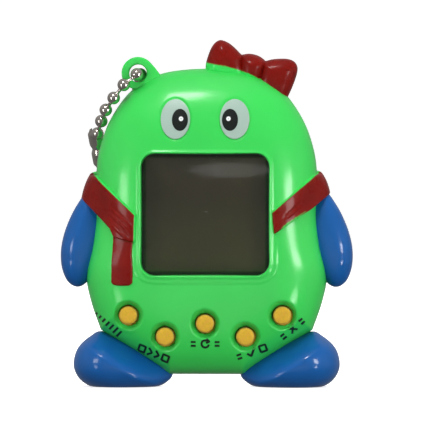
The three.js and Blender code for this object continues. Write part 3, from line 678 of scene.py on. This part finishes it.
def front_shell():
    """The front skin, from the window's seat over the face and back along the inside."""
    centre, width, height, radius = SCREEN.values()
    gap = 2 * LIP_CORNER
    grown = rounded_rectangle(centre, width + gap, height + gap, radius + gap / 2, 400)
    x, z = radial_grid(centre, grown, OUTLINE, SHELL_COLUMNS, FACE_ROWS, crowd=0.9)
    x, z = gather(x, z, BUTTON_SPOTS, BORE_RADIUS, 0.5)
    y = np.minimum(dome(x, z, FRONT) - front_relief(x, z), -PARTING)
    face = np.stack([x, y, z], axis=-1)
    outward, edge = rounded_edge(face[0], centre, LIP_CORNER, FRONT)
    back = edge[0] - outward * WALL_DRAFT
    back[:, 1] = WINDOW_FRONT - 0.05
    wall = [back + (edge[0] - back) * t for t in np.linspace(0, 1, 6)[:-1]]
    rows = wall + edge + list(face) + inner_rows(x, z, FRONT)
    loft("front_shell_skin", rows, GREEN, "green_plastic", closed_rows=True, replaces=["front_shell"],
         sharp=60)


def rear_shell():
    """The rear skin, from the ledge under the door over the back and along the inside."""
    centre, width, height, radius = DOOR.values()
    gap = 2 * (DOOR_GAP + EDGE_CORNER)
    opening = rounded_rectangle(centre, width + gap, height + gap, radius + gap / 2, 400)
    x, z = radial_grid(centre, opening, OUTLINE, SHELL_COLUMNS, FACE_ROWS, crowd=0.8)
    x, z = gather(x, z, CASE_SCREWS, SCREW_WELL_RADIUS, 0.6)
    x, z = gather(x, z, SOUND_HOLES, SOUND_HOLE_RADIUS, 0.3)
    y = wells(x, z, dome(x, z, REAR), CASE_SCREWS, SCREW_WELL_RADIUS, floor=SCREW_SEAT)
    y = wells(x, z, y, SOUND_HOLES, SOUND_HOLE_RADIUS, drop=-1.6)
    face = np.stack([x, np.maximum(y, PARTING), z], axis=-1)
    outward, edge = rounded_edge(face[0], centre, EDGE_CORNER, REAR)
    foot_row = edge[0] - (0, DOOR_THICKNESS + DOOR_CLEARANCE - EDGE_CORNER, 0)
    ledge = foot_row - outward * LEDGE_WIDTH
    under = ledge - (0, WALL, 0)
    rows = [under, ledge, foot_row] + edge + list(face) + inner_rows(x, z, REAR)
    loft("rear_shell_skin", rows, GREEN, "green_plastic", closed_rows=True, replaces=["rear_shell"], sharp=50)


def battery_door():
    """The door's panel, with a rounded edge and a well for its screw."""
    outline = rounded_rectangle(*DOOR.values(), 360)
    x, z = radial_grid(DOOR["centre"], ellipse(*DOOR["centre"], 0.01, 0.01, 60), outline, 360, 70)
    bottom = np.stack([x, dome(x, z, REAR) - DOOR_THICKNESS, z], axis=-1)[::-1]
    x, z = gather(x, z, [DOOR_SCREW], SCREW_WELL_RADIUS, 0.6)
    off_edge = -rectangle_distance(x, z, *DOOR.values())
    y = dome(x, z, REAR) - EDGE_CORNER * (1 - rounded(off_edge, EDGE_CORNER))
    y = wells(x, z, y, [DOOR_SCREW], SCREW_WELL_RADIUS, drop=-0.9)
    top = np.stack([x, y, z], axis=-1)
    loft("battery_door_panel", np.vstack([top, bottom]), GREEN, "green_plastic", body="battery_door",
         replaces=["battery_door"], sharp=50)


BAY_TOP, CUT_LENGTH = 6.15, 20


def add_box(form, centre, size):
    for vert in bmesh.ops.create_cube(form, size=1)["verts"]:
        vert.co = [centre[k] + vert.co[k] * size[k] for k in range(3)]


def add_drill(form, x, z, radius, floor, sides):
    """Adds a cylinder along Y, from a floor backwards."""
    made = bmesh.ops.create_cone(form, cap_ends=True, segments=sides, radius1=radius, radius2=radius,
                                 depth=CUT_LENGTH)
    turn = Matrix.Translation((x, floor + CUT_LENGTH / 2, z)) @ Matrix.Rotation(math.pi / 2, 4, "X")
    bmesh.ops.transform(form, matrix=turn, verts=made["verts"])


def as_object(name, form):
    mesh = bpy.data.meshes.new(name)
    form.to_mesh(mesh)
    form.free()
    return show(name, mesh)


def battery_bay():
    """The floor under the door with its two round pockets, where the cells lie."""
    low = cad_box("rear_shell")[0][1]
    solid = bmesh.new()
    (x, z), width, height, _ = DOOR.values()
    add_box(solid, (x, (low + BAY_TOP) / 2, z), (width + 0.2, BAY_TOP - low, height + 0.2))
    block = as_object("bay_block", solid)
    cuts = bmesh.new()
    cell_low, cell_high = cad_box("battery_cell_right")
    x, z = middle(cell_low, cell_high)
    radius = (cell_high[0] - cell_low[0]) / 2 + 0.3
    for side in (-1, 1):
        add_drill(cuts, side * x, z, radius, low + 0.8, 72)
    add_drill(cuts, *DOOR_SCREW, 1.15, low + 2, 32)
    add_box(cuts, (0, low + 0.8 + CUT_LENGTH / 2, 34.6), (8, CUT_LENGTH, 6.2))
    cutter = as_object("bay_cutter", cuts)
    carve = block.modifiers.new("pockets", "BOOLEAN")
    carve.operation, carve.object, carve.use_self = "DIFFERENCE", cutter, True
    cut = block.evaluated_get(bpy.context.evaluated_depsgraph_get()).to_mesh()
    points = [tuple(vert.co) for vert in cut.vertices]
    faces = [tuple(face.vertices) for face in cut.polygons]
    for made in (block, cutter):
        bpy.data.objects.remove(made)
    piece("battery_bay", points, faces, GREEN, "green_plastic", replaces=["rear_shell"], sharp=30)


front_shell()
rear_shell()
battery_door()
battery_bay()

# ---- Scarf ----

# Turns over the dome: on the outline, where the scarf begins to stand out, and where it has died away.
RIM, NEAR_RIM, BEHIND = 0.5 * math.pi, 0.3 * math.pi, 0.8 * math.pi
SHOULDER_SWELL, SHOULDER_RISE = 1.8, 1.05


def around(points):
    """Points of the face as directions about the heart and turns over the dome, 90 degrees at the rim."""
    points = np.asarray(points, float)
    s = np.clip(share(points[:, 0], points[:, 1]), 0, 1)
    facing = np.unwrap(np.arctan2(points[:, 1] - HEART[1], points[:, 0] - HEART[0]))
    facing -= 2 * math.pi * np.round((facing.mean() - (math.pi if points[0, 0] < 0 else 0)) / (2 * math.pi))
    return np.stack([facing, np.arcsin(s ** (FRONT["power"] / 2))], axis=1)


def on_body(facing, turn):
    """Points of the body's surface at directions about the heart and turns over the dome."""
    depth, power = (np.where(turn < RIM, FRONT[key], REAR[key]) for key in ("depth", "power"))
    reach = REACH(facing) * np.sin(turn) ** (2 / power)
    return np.stack([HEART[0] + reach * np.cos(facing), -depth * np.cos(turn),
                     HEART[1] + reach * np.sin(facing)], axis=-1)


CREASE_WIDTH, STRIP_EDGE, STRIP_ROOT = 0.16, 0.4, 0.4


def crease(x, z, start, end, depth):
    """A groove with a lip beside it, from one point of the face to another."""
    start, end = np.array(start), np.array(end)
    ahead = unit(end - start)
    along = (x - start[0]) * ahead[0] + (z - start[1]) * ahead[1]
    off = (z - start[1]) * ahead[0] - (x - start[0]) * ahead[1]
    length = np.linalg.norm(end - start)
    ends = smoothstep(-0.3, 0.8, along) * smoothstep(-0.3, 0.8, length - along)
    off = off / CREASE_WIDTH
    groove = np.exp(-(off**2)) - 0.7 * np.exp(-(((off - 2) / 1.4) ** 2))
    return depth * groove * ends


def strip(name, edge_a, edge_b, rise, creases=(), over_shoulder=True, fade=None, stand=0.0, bare=0.3):
    """A raised band of the scarf between two lines drawn on the face, from its free end onwards.

    over_shoulder carries it round the rim, where it stands out, and lets it die away at the back.
    bare is the width along the first line that stays green.
    """
    rows, columns = 130, 44
    lines = [around(evenly(edge, rows)) for edge in (edge_a, edge_b)]
    if over_shoulder:
        back = np.linspace(0, 1, 46)[1:, None]
        for k, line in enumerate(lines):
            last = line[-1]
            past = np.hstack([last[0] + np.sign(math.cos(last[0])) * 0.1 * back,
                              RIM + 0.32 * math.pi * back])
            lines[k] = np.vstack([line, past])
    w = 0.5 - 0.5 * np.cos(np.linspace(0, math.pi, columns))[None, :]
    wide = np.linalg.norm(on_body(*lines[0].T) - on_body(*lines[1].T), axis=1)
    bare_edge = bare * (1 - smoothstep(NEAR_RIM, 0.45 * math.pi, lines[0][:, 1]))
    lines[0] += (lines[0] - lines[1]) * (bare_edge / wide)[:, None]
    facing = lines[0][:, :1] * (1 - w) + lines[1][:, :1] * w
    turn = lines[0][:, 1:] * (1 - w) + lines[1][:, 1:] * w
    base = on_body(facing, turn)
    along = np.gradient(base, axis=0)
    across = np.gradient(base, axis=1)
    normal = unit(np.cross(along, across))
    outward = base - (HEART[0], 0, HEART[1])
    normal *= np.sign(np.sum(normal * outward, axis=2))[..., None]

    width = np.linalg.norm(base[:, -1] - base[:, 0], axis=1)[:, None]
    off_side = np.minimum(w, 1 - w) * width
    walked = distance_along(base[:, columns // 2])[:, None]
    edge = rounded(off_side, STRIP_EDGE) * rounded(walked, STRIP_EDGE)
    if not over_shoulder:
        edge = edge * rounded(walked[-1] - walked, STRIP_EDGE)
    swell = smoothstep(NEAR_RIM, RIM, turn) if over_shoulder else 0 * turn
    lifted = SHOULDER_SWELL * w**0.8 * swell
    height = rise + lifted + (stand + w * (1 - w)) * swell
    if over_shoulder:
        behind = smoothstep(RIM, BEHIND, turn)
        height = height * (1 - behind) - 0.3 * smoothstep(0, 0.3, behind)
    for start, end, depth in creases:
        height = height - crease(base[..., 0], base[..., 2], start, end, depth)
    points = base + normal * (-STRIP_ROOT + (height + STRIP_ROOT) * edge)[..., None]
    points[..., 2] += SHOULDER_RISE * lifted * edge
    inside = smoothstep(0.5 * bare_edge[:, None] - 0.01, 1.2 * bare_edge[:, None], w * width)
    paint = smoothstep(0.35, 0.97, edge) * inside * (1 - smoothstep(RIM, 0.56 * math.pi, turn))
    if fade is not None:
        paint = paint * fade(base[..., 0], base[..., 2])
    under = base - normal * 0.7
    grid = np.concatenate([points, under[:, ::-1]], axis=1)
    cover = np.concatenate([paint, np.zeros_like(paint)], axis=1)
    loft(name, grid, RED, "red_paint", paint=cover, replaces=["front_shell", "rear_shell"], sharp=70)


def rubbed_edge(x, z):
    """How much of the right band's paint is left: it is thin along the lower edge by the screen."""
    off_edge = ((z - 28.3) * 8 - (x - 12.75) * 5.65) / 9.8
    stretch = smoothstep(13.2, 14.6, x) * (1 - smoothstep(17, 19.5, x))
    return 1 - 0.8 * (1 - smoothstep(0.1, 1.1, off_edge)) * stretch


strip("scarf_right", [(12.35, 32.3), (20.9, 40.1)], [(12.75, 28.3), (20.75, 33.95)], 0.6,
      creases=[((14.6, 31.2), (17.6, 34), -0.16)], fade=rubbed_edge)
strip("scarf_left", [(-13.25, 26.8), (-13.05, 32), (-20.9, 39.9)],
      [(-16.9, 28.1), (-17.5, 29.4), (-20.75, 32.9)], 0.72, stand=0.2,
      creases=[((-17.4, 33.5), (-13.6, 29.8), -0.14), ((-17.6, 32.1), (-13.8, 28.3), 0.12),
               ((-16.9, 30.1), (-14.1, 27.4), -0.12)])
strip("scarf_tail", [(-13.25, 29), (-13.2, 19.7), (-13.65, 19.05)],
      [(-17.0, 29.4), (-17.4, 19.7), (-17, 19.05)], 0.38, over_shoulder=False, bare=0.01)

# ---- Bow ----

BOW_LEFT = [
    (7.3, 56.6), (7.2, 60.9), (6.3, 62), (4.9, 63.4), (3.7, 64.2), (2.4, 64.5), (1.2, 63.6),
    (0.3, 61.7), (-0.2, 59.5), (0.3, 57.6), (3.5, 56.4),
]
BOW_RIGHT = [
    (9.4, 55.6), (12.2, 53.4), (14.2, 52.4), (15.1, 53.9), (16.1, 56.1), (16.8, 58.2), (16.9, 59.5),
    (16.3, 60.5), (15, 61), (12.9, 61), (11.3, 60.7), (10, 60),
]
BOW_KNOT = [
    (6.2, 61.2), (7.2, 61.9), (8.6, 61.9), (10, 61.4), (11.1, 60.3), (10.8, 58.6), (9.4, 56), (6.2, 57),
]
BOW_PAINT_EDGE = [
    (-0.4, 60.4), (1.6, 59.9), (3.4, 59.6), (5.8, 59), (8.7, 57.9), (11.4, 56.3), (13.7, 54.5), (15.4, 53.6),
]


def bow_piece(name, outline, centre, front, rear, power):
    """A pebble whose paint ends at a line, below which it's the green of the head."""
    rows = pebble_rows(evenly(spline(outline, closed=True), 110, closed=True), centre, front, rear, power, 26)
    edge_x, edge_z = np.array(BOW_PAINT_EDGE).T
    above = rows[..., 2] - np.interp(rows[..., 0], edge_x, edge_z)
    paint = smoothstep(-0.4, 0.4, above) * (1 - smoothstep(-0.7, 0.6, rows[..., 1]))
    loft(name, rows, RED, "red_paint", paint=paint, replaces=["front_shell", "rear_shell"], sharp=80)


bow_piece("bow_left", np.array(BOW_LEFT), (3.6, 60.4), 2.8, 2.4, 2.8)
bow_piece("bow_right", np.array(BOW_RIGHT), (13.2, 57.6), 2.8, 2.4, 2.8)
bow_piece("bow_knot", np.array(BOW_KNOT), (8.7, 59.2), 3.3, 2.8, 2.3)


def eyelet():
    """The ring for the chain, with its web to the head."""
    x, z, radius, hole, front = EYELET.values()
    round_part = ring(x, 0, z, radius, np.radians(np.linspace(42, 255, 60)))[:, ::2]
    loop = np.vstack([round_part, [(-10.2, 54.8), (-8.3, 56.2), (-8.55, 58), (-9.5, 59.3)]])
    angles = full_turn(120)
    outer = polar(evenly(loop, 300, closed=True), (x, z))(angles)
    back, corner = -PARTING, 0.3
    rows = []
    for at_rim, cy, start in ((False, front + corner, 180), (True, front + corner, 270),
                              (True, back - corner, 0), (False, back - corner, 90)):
        for turn in np.radians(np.linspace(start, start + 90, 6)):
            reach = (outer - corner if at_rim else hole + corner) + corner * math.cos(turn)
            rows.append(ring(x, cy + corner * math.sin(turn), z, reach, angles))
    loft("eyelet_ring", rows, GREEN, "green_plastic", closed_rows=True, replaces=["front_shell"], sharp=60)


eyelet()

# ---- Eyes and legends ----


def face_y(x, z):
    return dome(x, z, FRONT) - front_relief(x, z)


def printed_ellipse(name, centre, rx, rz, above, thickness, material, slot, node):
    """A thin oval layer of an eye that follows the face, with a rounded edge."""
    rows = []
    loop = ellipse(0, 0, 1, 1, 120)
    for e in np.sin(np.linspace(0, math.pi / 2, 22)):
        x, z = centre[0] + loop[:, 0] * rx * e, centre[1] + loop[:, 1] * rz * e
        height = EYE_RISE + above - thickness * (1 - rounded((1 - e) * min(rx, rz), thickness))
        rows.append(np.stack([x, dome(x, z, FRONT) - height, z], axis=1))
    skirt = rows[-1] + (0, 0.3, 0)
    loft(name, rows + [skirt], material, slot, replaces=[node], sharp=70)


for side, word in ((-1, "left"), (1, "right")):
    pupil = (side * (EYE_X - PUPIL["inward"]), EYE_Z - 0.15)
    glint = (pupil[0] + 0.2 * (1 if side < 0 else -1.4), pupil[1] + 0.2)
    for layer, *drawn in (
        ("eye_white_{}", (side * EYE_X, EYE_Z), EYE_RX, EYE_RZ, 0, 0.12, EYE_WHITE, "eye_print"),
        ("pupil_{}", pupil, PUPIL["rx"], PUPIL["rz"], 0.03, 0.03, PUPIL_INK, "dark_ink"),
        ("glint_{}", glint, 0.41, 0.43, 0.05, 0.02, GLINT, "eye_print"),
        ("glint_{}_centre", glint, 0.11, 0.12, 0.06, 0.01, EYE_WHITE, "eye_print"),
    ):
        printed_ellipse(layer.format(word), *drawn, f"eye_{word}")


LEGEND_WIDTH, LEGEND_RISE, LEGEND_ROOT, BAR_PITCH = 0.4, 0.03, 0.05, 0.94


def ink_strokes(name, strokes, centre, tilt):
    """Printed strokes on the face: lines in the legend's own axes, turned by tilt and centred."""
    cos, sin = math.cos(math.radians(tilt)), math.sin(math.radians(tilt))
    grids = []
    for stroke in strokes:
        line = evenly(stroke, max(3, len(stroke) * 8))
        ahead = unit(np.gradient(line, axis=0))
        side = np.stack([-ahead[:, 1], ahead[:, 0]], axis=1) * LEGEND_WIDTH / 2
        rows = []
        for across, sink in ((-1, LEGEND_ROOT), (-1, -LEGEND_RISE), (1, -LEGEND_RISE), (1, LEGEND_ROOT)):
            u, v = (line + across * side).T
            x, z = centre[0] + u * cos - v * sin, centre[1] + u * sin + v * cos
            rows.append(np.stack([x, face_y(x, z) + sink, z], axis=1))
        grids.append(np.array(rows))
    piece(name, *joined(grids, True, False), INK, "dark_ink", replaces=["front_shell"])


def bars(heights):
    """Upright bars that stand on one line."""
    spots = [BAR_PITCH * (i - (len(heights) - 1) / 2) for i in range(len(heights))]
    return [[(spot, -0.75), (spot, -0.75 + height)] for spot, height in zip(spots, heights)]


def arc(cx, cz, radius, start, end):
    turn = np.radians(np.linspace(start, end, 14))
    return [(cx + radius * math.cos(t), cz + radius * math.sin(t)) for t in turn]


BOX = [(-0.6, -0.6), (0.6, -0.6), (0.6, 0.6), (-0.6, 0.6), (-0.6, -0.62)]


def moved(strokes, across):
    return [[(u + across, v) for u, v in stroke] for stroke in strokes]


PAIR = [[(-0.45, 0.35), (0.45, 0.35)], [(-0.45, -0.35), (0.45, -0.35)]]
AGAIN = [arc(0, 0, 0.68, 60, 350), [(0.25, 0.95), (0.75, 0.45), (0.15, 0.15)]]
TICK = [[(-0.8, 0.05), (-0.2, -0.65), (0.9, 0.75)]]
CROSS = [[(-0.65, 0.65), (0.65, -0.65)], [(-0.65, -0.65), (0.65, 0.65)]]
CHEVRON = [[(-0.4, 0.7), (0.4, 0), (-0.4, -0.7)]]
LEGENDS = [
    ("level", bars([0.5, 0.7, 0.9, 1.1, 1.3, 1.5, 1.5]), (-18.05, 12.0), -46),
    ("next", moved([BOX], -2.4) + moved(CHEVRON, -0.8) + moved(CHEVRON, 0.6) + moved([BOX], 2.3),
     (-9.6, 6.35), -22),
    ("again", moved(PAIR, -2.2) + AGAIN + moved(PAIR, 2.2), (0, 8.25), 0),
    ("tick", moved(PAIR, -2.3) + TICK + moved([BOX], 2.3), (8.45, 6.6), 19),
    ("cross", moved(PAIR, -2.2) + CROSS + moved(PAIR, 2.2), (16.1, 10.95), 40),
]
for word, strokes, centre, tilt in LEGENDS:
    ink_strokes(f"legend_{word}", strokes, centre, tilt)

# ---- Screen ----


def clear_plastic():
    """Clear tinted sheet: what lies behind shows through, with a soft reflection over it."""
    shader = Shader("clear_window", 0.08)
    gloss = shader.node("ShaderNodeBsdfGlossy", Color=(1, 1, 1, 1),
                        Roughness=shader.remap(shader.noise(3, 4), 0.01, 0.03))
    clear = shader.node("ShaderNodeBsdfTransparent", Color=(0.9, 0.89, 0.86, 1))
    fresnel = shader.node("ShaderNodeFresnel", IOR=1.42)
    blend = shader.node("ShaderNodeMixShader")
    feed(blend, {0: fresnel.outputs[0], 1: clear.outputs[0], 2: gloss.outputs[0]})
    feed(shader.tree.nodes["Material Output"], {"Surface": blend.outputs[0]})
    shader.tree.nodes.remove(shader.principled)
    return shader.material


def liquid_crystal():
    """A dark LCD that is switched off: a faint lattice of pixels under a polariser."""
    shader = Shader("liquid_crystal", 0.35)
    cells = shader.node("ShaderNodeTexVoronoi", Vector=shader.place, Scale=1 / (0.6 * MM), Randomness=0)
    cells.distance = "CHEBYCHEV"
    lattice = shader.remap(cells.outputs["Distance"], 0, 0.12, 0.3, 0.5)
    tone = shader.tone((76, 73, 47), 0.1, 14)
    # Painted reflection: the LCD is painted lighter and greener towards its lower part, for the greenish
    # reflection that lies there.
    height = shader.node("ShaderNodeSeparateXYZ", Vector=shader.place)
    painted_reflection_low = shader.remap(height.outputs["Z"], 0, 1, 36 * MM, 20 * MM)
    shown = shader.mix(lattice, shader.mix(painted_reflection_low, tone, linear((100, 106, 60))), linear((60, 57, 36)))
    # The paint attribute darkens the LCD's edge to near black: partly its own dark edge, partly painted
    # shadow of the gap round the window.
    shader.paint(shader.mix(shader.attribute("paint"), shown, linear((10, 12, 8))))
    shader.rough(0.3, 0.45, 5)
    return shader.material


MIDDLE = -1  # stands in a row for the inset at which the plate closes


def sheet_plate(name, node, corner, face, material, slot):
    """A flat plate in the place of a CAD node, from rows of inset, depth behind its front and paint; on the
    LCD the paint is its near-black edge, partly its own dark edge and partly painted shadow of the gap round
    the window.
    """
    low, high = cad_box(node)
    size = high - low
    rows, paint = [], []
    for inset, depth, cover in face:
        closed = inset == MIDDLE
        across, up = (0.002, 0.002) if closed else size[::2] - 2 * inset
        radius = 0.001 if closed else max(corner - inset, 0.1)
        loop = rounded_rectangle(middle(low, high), across, up, radius, 160)
        rows.append(np.insert(loop, 1, low[1] + depth, axis=1))
        paint.append(np.full(160, cover))
    loft(name, rows, material, slot, replaces=[node], sharp=30, paint=np.array(paint))


def lcd_face():
    # The band within 0.85 mm of the LCD's edge gets the near-black edge: partly its own dark edge, partly
    # painted shadow.
    depth = np.ptp(np.array(cad_box("lcd_panel"))[:, 1])
    return [(MIDDLE, 0, 0), (3, 0, 0), (1.3, 0, 0), (0.85, 0, 1), (0.08, 0, 1), (0, 0.08, 1),
            (0, depth - 0.08, 1), (0.08, depth, 1), (MIDDLE, depth, 1)]


WINDOW_FACE = [
    (MIDDLE, 0, 0), (0.12, 0, 0), (0.04, 0.04, 0), (0, 0.12, 0), (0, 0.88, 0), (0.12, 1, 0), (MIDDLE, 1, 0),
]
sheet_plate("window_sheet", "screen_window", 2.2, WINDOW_FACE, clear_plastic(), "clear_window")
sheet_plate("lcd_glass", "lcd_panel", 0.4, lcd_face(), liquid_crystal(), "liquid_crystal")

# ---- Buttons ----

CAP_FACE = [(0.01, 0), (0.7, 0.01), (1.2, 0.04), (1.42, 0.1), (1.56, 0.2), (1.65, 0.36), (BUTTON_RADIUS, 0.6)]
for number, spot in enumerate(BUTTON_SPOTS, 1):
    low, high = cad_box(f"button_{number}")
    top, tip = low[1], high[1]
    flange = top + 2.6
    profile = [(radius, top + depth) for radius, depth in CAP_FACE] + [
        (BUTTON_RADIUS, flange - 0.1), (1.75, flange), (2.1, flange), (2.1, flange + 0.3),
        (1.3, flange + 0.35), (1.3, tip - 0.1), (1.2, tip), (0.01, tip),
    ]
    turned(f"button_cap_{number}", *spot, profile, YELLOW, "yellow_silicone", sides=64,
           body=f"button_{number}", replaces=[f"button_{number}"], sharp=50)

# ---- Flippers and feet ----

FLIPPER = [
    (21.9, 36.6), (19.6, 35.4), (18.3, 31), (19, 26), (20.6, 21.8), (22.6, 19.2), (24.3, 18.6),
    (25.9, 19.6), (26.9, 21.8), (27.2, 24.4), (26.9, 27.2), (25.9, 30.4), (24.2, 33.8),
]
FOOT = [
    (19.2, 10.3), (13.6, 8), (7.4, 4.2), (6.3, 2.8), (6.9, 1.3), (9.6, -0.2), (15.5, -1),
    (19.8, -0.6), (22.4, 0.4), (24.1, 2), (24.8, 4.3), (24, 7.2), (21.7, 9.4),
]


def meet_body(rows):
    """Moves the points of a limb that lie inside the body out to just under its surface."""
    front = rows[..., 1] < 0
    depth, power = (np.where(front, FRONT[key], REAR[key]) for key in ("depth", "power"))
    skin = (1 - np.clip(abs(rows[..., 1]) / depth, 0, 1) ** 2) ** (1 / power)
    inside = np.minimum(share(rows[..., 0], rows[..., 2]) / (skin * 0.985), 1)
    rows[..., 0], rows[..., 2] = from_heart(rows[..., 0], rows[..., 2], 1 / inside)


def flipper(side, word):
    outline = evenly(spline(FLIPPER, closed=True), 120, closed=True) * (side, 1)
    rows = pebble_rows(outline, (side * 23.6, 26.6), 3.5, 3.5, 2.3, 30)
    meet_body(rows)
    loft(f"flipper_{word}_form", rows, BLUE, "blue_plastic", replaces=[f"flipper_{word}"], sharp=60)


def foot(side, word):
    """A foot: it is thin along the belly's slope, grows full below it, and is flat underneath."""
    outline = evenly(spline(FOOT, closed=True), 140, closed=True) * (side, 1)
    rows = pebble_rows(outline, (side * 17, 5), 7.9, 6.9, 2.5, 32)
    slope = unit(np.array([BELLY_CORNER[1] - HIP[1], HIP[0] - BELLY_CORNER[0]])) * (side, 1)
    below = -(rows[..., 0] - side * HIP[0]) * slope[0] - (rows[..., 2] - HIP[1]) * slope[1]
    rows[..., 1] *= 0.5 + 0.5 * smoothstep(-0.5, 4, below)
    meet_body(rows)
    rows[..., 2] = (rows[..., 2] + np.sqrt(rows[..., 2] ** 2 + 0.04)) / 2
    loft(f"foot_{word}_form", rows, BLUE, "blue_plastic", replaces=[f"foot_{word}"], sharp=60)


for side, word in ((-1, "left"), (1, "right")):
    flipper(side, word)
    foot(side, word)

# ---- Screws and cells ----

SCREW_CROWN, RECESS_DEPTH, SHANK_RADIUS = 0.22, 0.45, 0.85


def screw(name, node, body="case"):
    """A pan-head screw with a cross recess, in the place of a CAD screw."""
    low, high = cad_box(node)
    (x, z), tip, top = middle(low, high), low[1], high[1]
    head = (high[2] - low[2]) / 2
    rise = 0.5 if head > 1.58 else 0.9
    turn = full_turn(96)
    rows = []
    for r in np.linspace(0.01, 1, 26) * head:
        u, v = r * np.cos(turn + 0.4), r * np.sin(turn + 0.4)
        narrow, wide = np.minimum(abs(u), abs(v)), np.maximum(abs(u), abs(v))
        recess = (1 - smoothstep(0.1, 0.2, narrow)) * (1 - smoothstep(0.62, 0.8, wide))
        y = top - SCREW_CROWN * (r / head) ** 3 - RECESS_DEPTH * recess
        rows.append(ring(x, y, z, r, turn))
    under, shank = top - rise, SHANK_RADIUS
    profile = [(head, under), (shank, under), (shank, tip + 0.8), (0.5, tip), (0.01, tip)]
    rows += [ring(x, y, z, r, turn) for r, y in profile]
    loft(name, rows, DULL_STEEL, "steel", body=body, replaces=[node], sharp=35)


for number in range(1, 5):
    screw(f"case_screw_{number}_turned", f"case_screw_{number}")
screw("door_screw_turned", "battery_door_screw", body="battery_door")


def button_cell(ahead, word):
    """A cell whose small pole lies to the front (1) or the back (-1)."""
    low, high = cad_box(f"battery_cell_{word}")
    radius = (high[0] - low[0]) / 2
    start, end = (low[1], high[1]) if ahead > 0 else (high[1], low[1])
    profile = [(0.01, start), (radius - 1.3, start), (radius - 1.05, start + 0.1 * ahead),
               (radius - 0.95, start + 0.7 * ahead), (radius - 0.6, start + 0.78 * ahead),
               (radius - 0.2, start + 0.85 * ahead), (radius, start + 1.1 * ahead),
               (radius, end - 0.35 * ahead), (radius - 0.1, end - 0.1 * ahead), (radius - 0.35, end),
               (radius - 1.2, end), (radius - 1.3, end - 0.06 * ahead), (0.01, end - 0.06 * ahead)]
    turned(f"cell_{word}", *middle(low, high), profile, STEEL, "steel", sides=72,
           replaces=[f"battery_cell_{word}"], sharp=30)


button_cell(1, "left")
button_cell(-1, "right")

# ---- Inner pieces ----

NODE_MATERIALS = {
    "green_plastic": GREEN, "blue_plastic": BLUE, "yellow_silicone": YELLOW, "white_plastic": WHITE,
    "black_epoxy": BLACK, "board_green": BOARD, "black_rubber": RUBBER, "steel": DULL_STEEL,
    "brass": BRASS, "ceramic": CERAMIC, "copper_tone": COPPER, "red_wire": RED_WIRE, "eye_print": EYE_WHITE,
}
slots = {row["node"]: row["material_slot"] for row in frame["record"]["subparts"]}
for name, node in frame["nodes"].items():
    if not node.hide_render:
        node.data.materials.clear()
        node.data.materials.append(NODE_MATERIALS[slots[name]])

# ---- Studio ----


def floor():
    """A pale round sweep: flat under the toy, and curving up into a wall all round."""
    profile = [(1e-5, 0), (0.3, 0), (0.8, 0), (1.6, 0)]
    bend = np.linspace(0, math.pi / 2, 16)[1:]
    profile += [(1.6 + 0.6 * math.sin(t), 0.6 - 0.6 * math.cos(t)) for t in bend]
    profile += [(2.2, 2), (1.4, 3)]
    turn = full_turn(64)
    grid = np.array([ring(0, z, 0, r, turn)[:, [0, 2, 1]] for r, z in profile])
    mesh = mesh_of("floor", grid, sheet_faces(*grid.shape[:2], False, True))
    mesh.shade_smooth()
    sweep = Shader("studio_floor", 0.9, Emission_Color=(1, 1, 1, 1), Emission_Strength=0.75)
    sweep.paint(sweep.tone((225, 225, 225), 0.01, 60))
    mesh.materials.append(sweep.material)
    made = show("floor", mesh)
    made.visible_diffuse = made.visible_glossy = False


def softbox(name, place, width, height, power, glossy=True):
    """An area light turned to the toy, seen in its gloss or not."""
    light = bpy.data.lights.new(name, "AREA")
    light.shape, light.size, light.size_y, light.energy = "RECTANGLE", width, height, power
    lamp = show(name, light)
    lamp.location = place
    lamp.rotation_euler = (TOY_MIDDLE - Vector(place)).to_track_quat("-Z", "Y").to_euler()
    lamp.visible_glossy = glossy


def sky():
    """Soft light from all round, brighter from above."""
    world = bpy.data.worlds.new("studio")
    bpy.context.scene.world = world
    world.use_nodes = True
    nodes = world.node_tree.nodes
    split, ramp = nodes.new("ShaderNodeSeparateXYZ"), nodes.new("ShaderNodeMapRange")
    feed(split, {0: nodes.new("ShaderNodeTexCoord").outputs["Generated"]})
    feed(ramp, {"Value": split.outputs["Z"], "From Min": -0.6, "From Max": 0.9,
                "To Min": 0.16, "To Max": 0.4})
    feed(nodes["Background"], {"Color": (1, 1, 1, 1), "Strength": ramp.outputs["Result"]})


def lamp_card(name, centre, across, up, strength):
    """A small oval light panel in front of the screen, that shows only as a reflection."""
    turn = full_turn(48)
    height = up * np.sin(turn) * np.abs(np.sin(turn)) ** 0.4
    points = np.stack([centre[0] + across * np.cos(turn), centre[1] + 0 * turn, centre[2] + height], axis=1)
    mesh = mesh_of(name, points, [range(48)])
    glow = Shader(name, 1.0, Emission_Color=(0.95, 0.97, 1, 1), Emission_Strength=strength)
    mesh.materials.append(glow.material)
    made = show(name, mesh)
    made.visible_camera = made.visible_diffuse = False


floor()
sky()
lamp_card("lamp_card", (-0.019, -0.76, 0.0421), 0.0158, 0.0028, 1.5)
lamp_card("lamp_bar", (-0.024, -0.755, 0.0421), 0.0014, 0.0024, 3)
TOY_MIDDLE = Vector((0, 0, 0.035))
softbox("key", (-0.12, -0.43, 0.6), 0.17, 0.14, 1.8)
softbox("top", (0, -0.12, 0.75), 0.5, 0.4, 2, glossy=False)
softbox("fill", (0, -0.9, -0.25), 0.7, 0.4, 3, glossy=False)
for word, side, share_of_light in (("left", -1, 0.5), ("right", 1, 0.95)):
    softbox(f"{word}_upper", (0.42 * side, -0.42, 0.04), 0.15, 0.12, 1.05 * share_of_light)
    softbox(f"{word}_lower", (0.42 * side, -0.42, -0.18), 0.1, 0.06, 0.4 * share_of_light)
softbox("left_side", (-0.6, -0.1, 0.05), 0.4, 0.5, 1.4, glossy=False)
softbox("right_side", (0.6, -0.1, 0.05), 0.4, 0.5, 1.7, glossy=False)
softbox("back", (0.15, 0.6, 0.5), 0.5, 0.4, 3, glossy=False)

bpy.context.scene.view_settings.view_transform = "Standard"
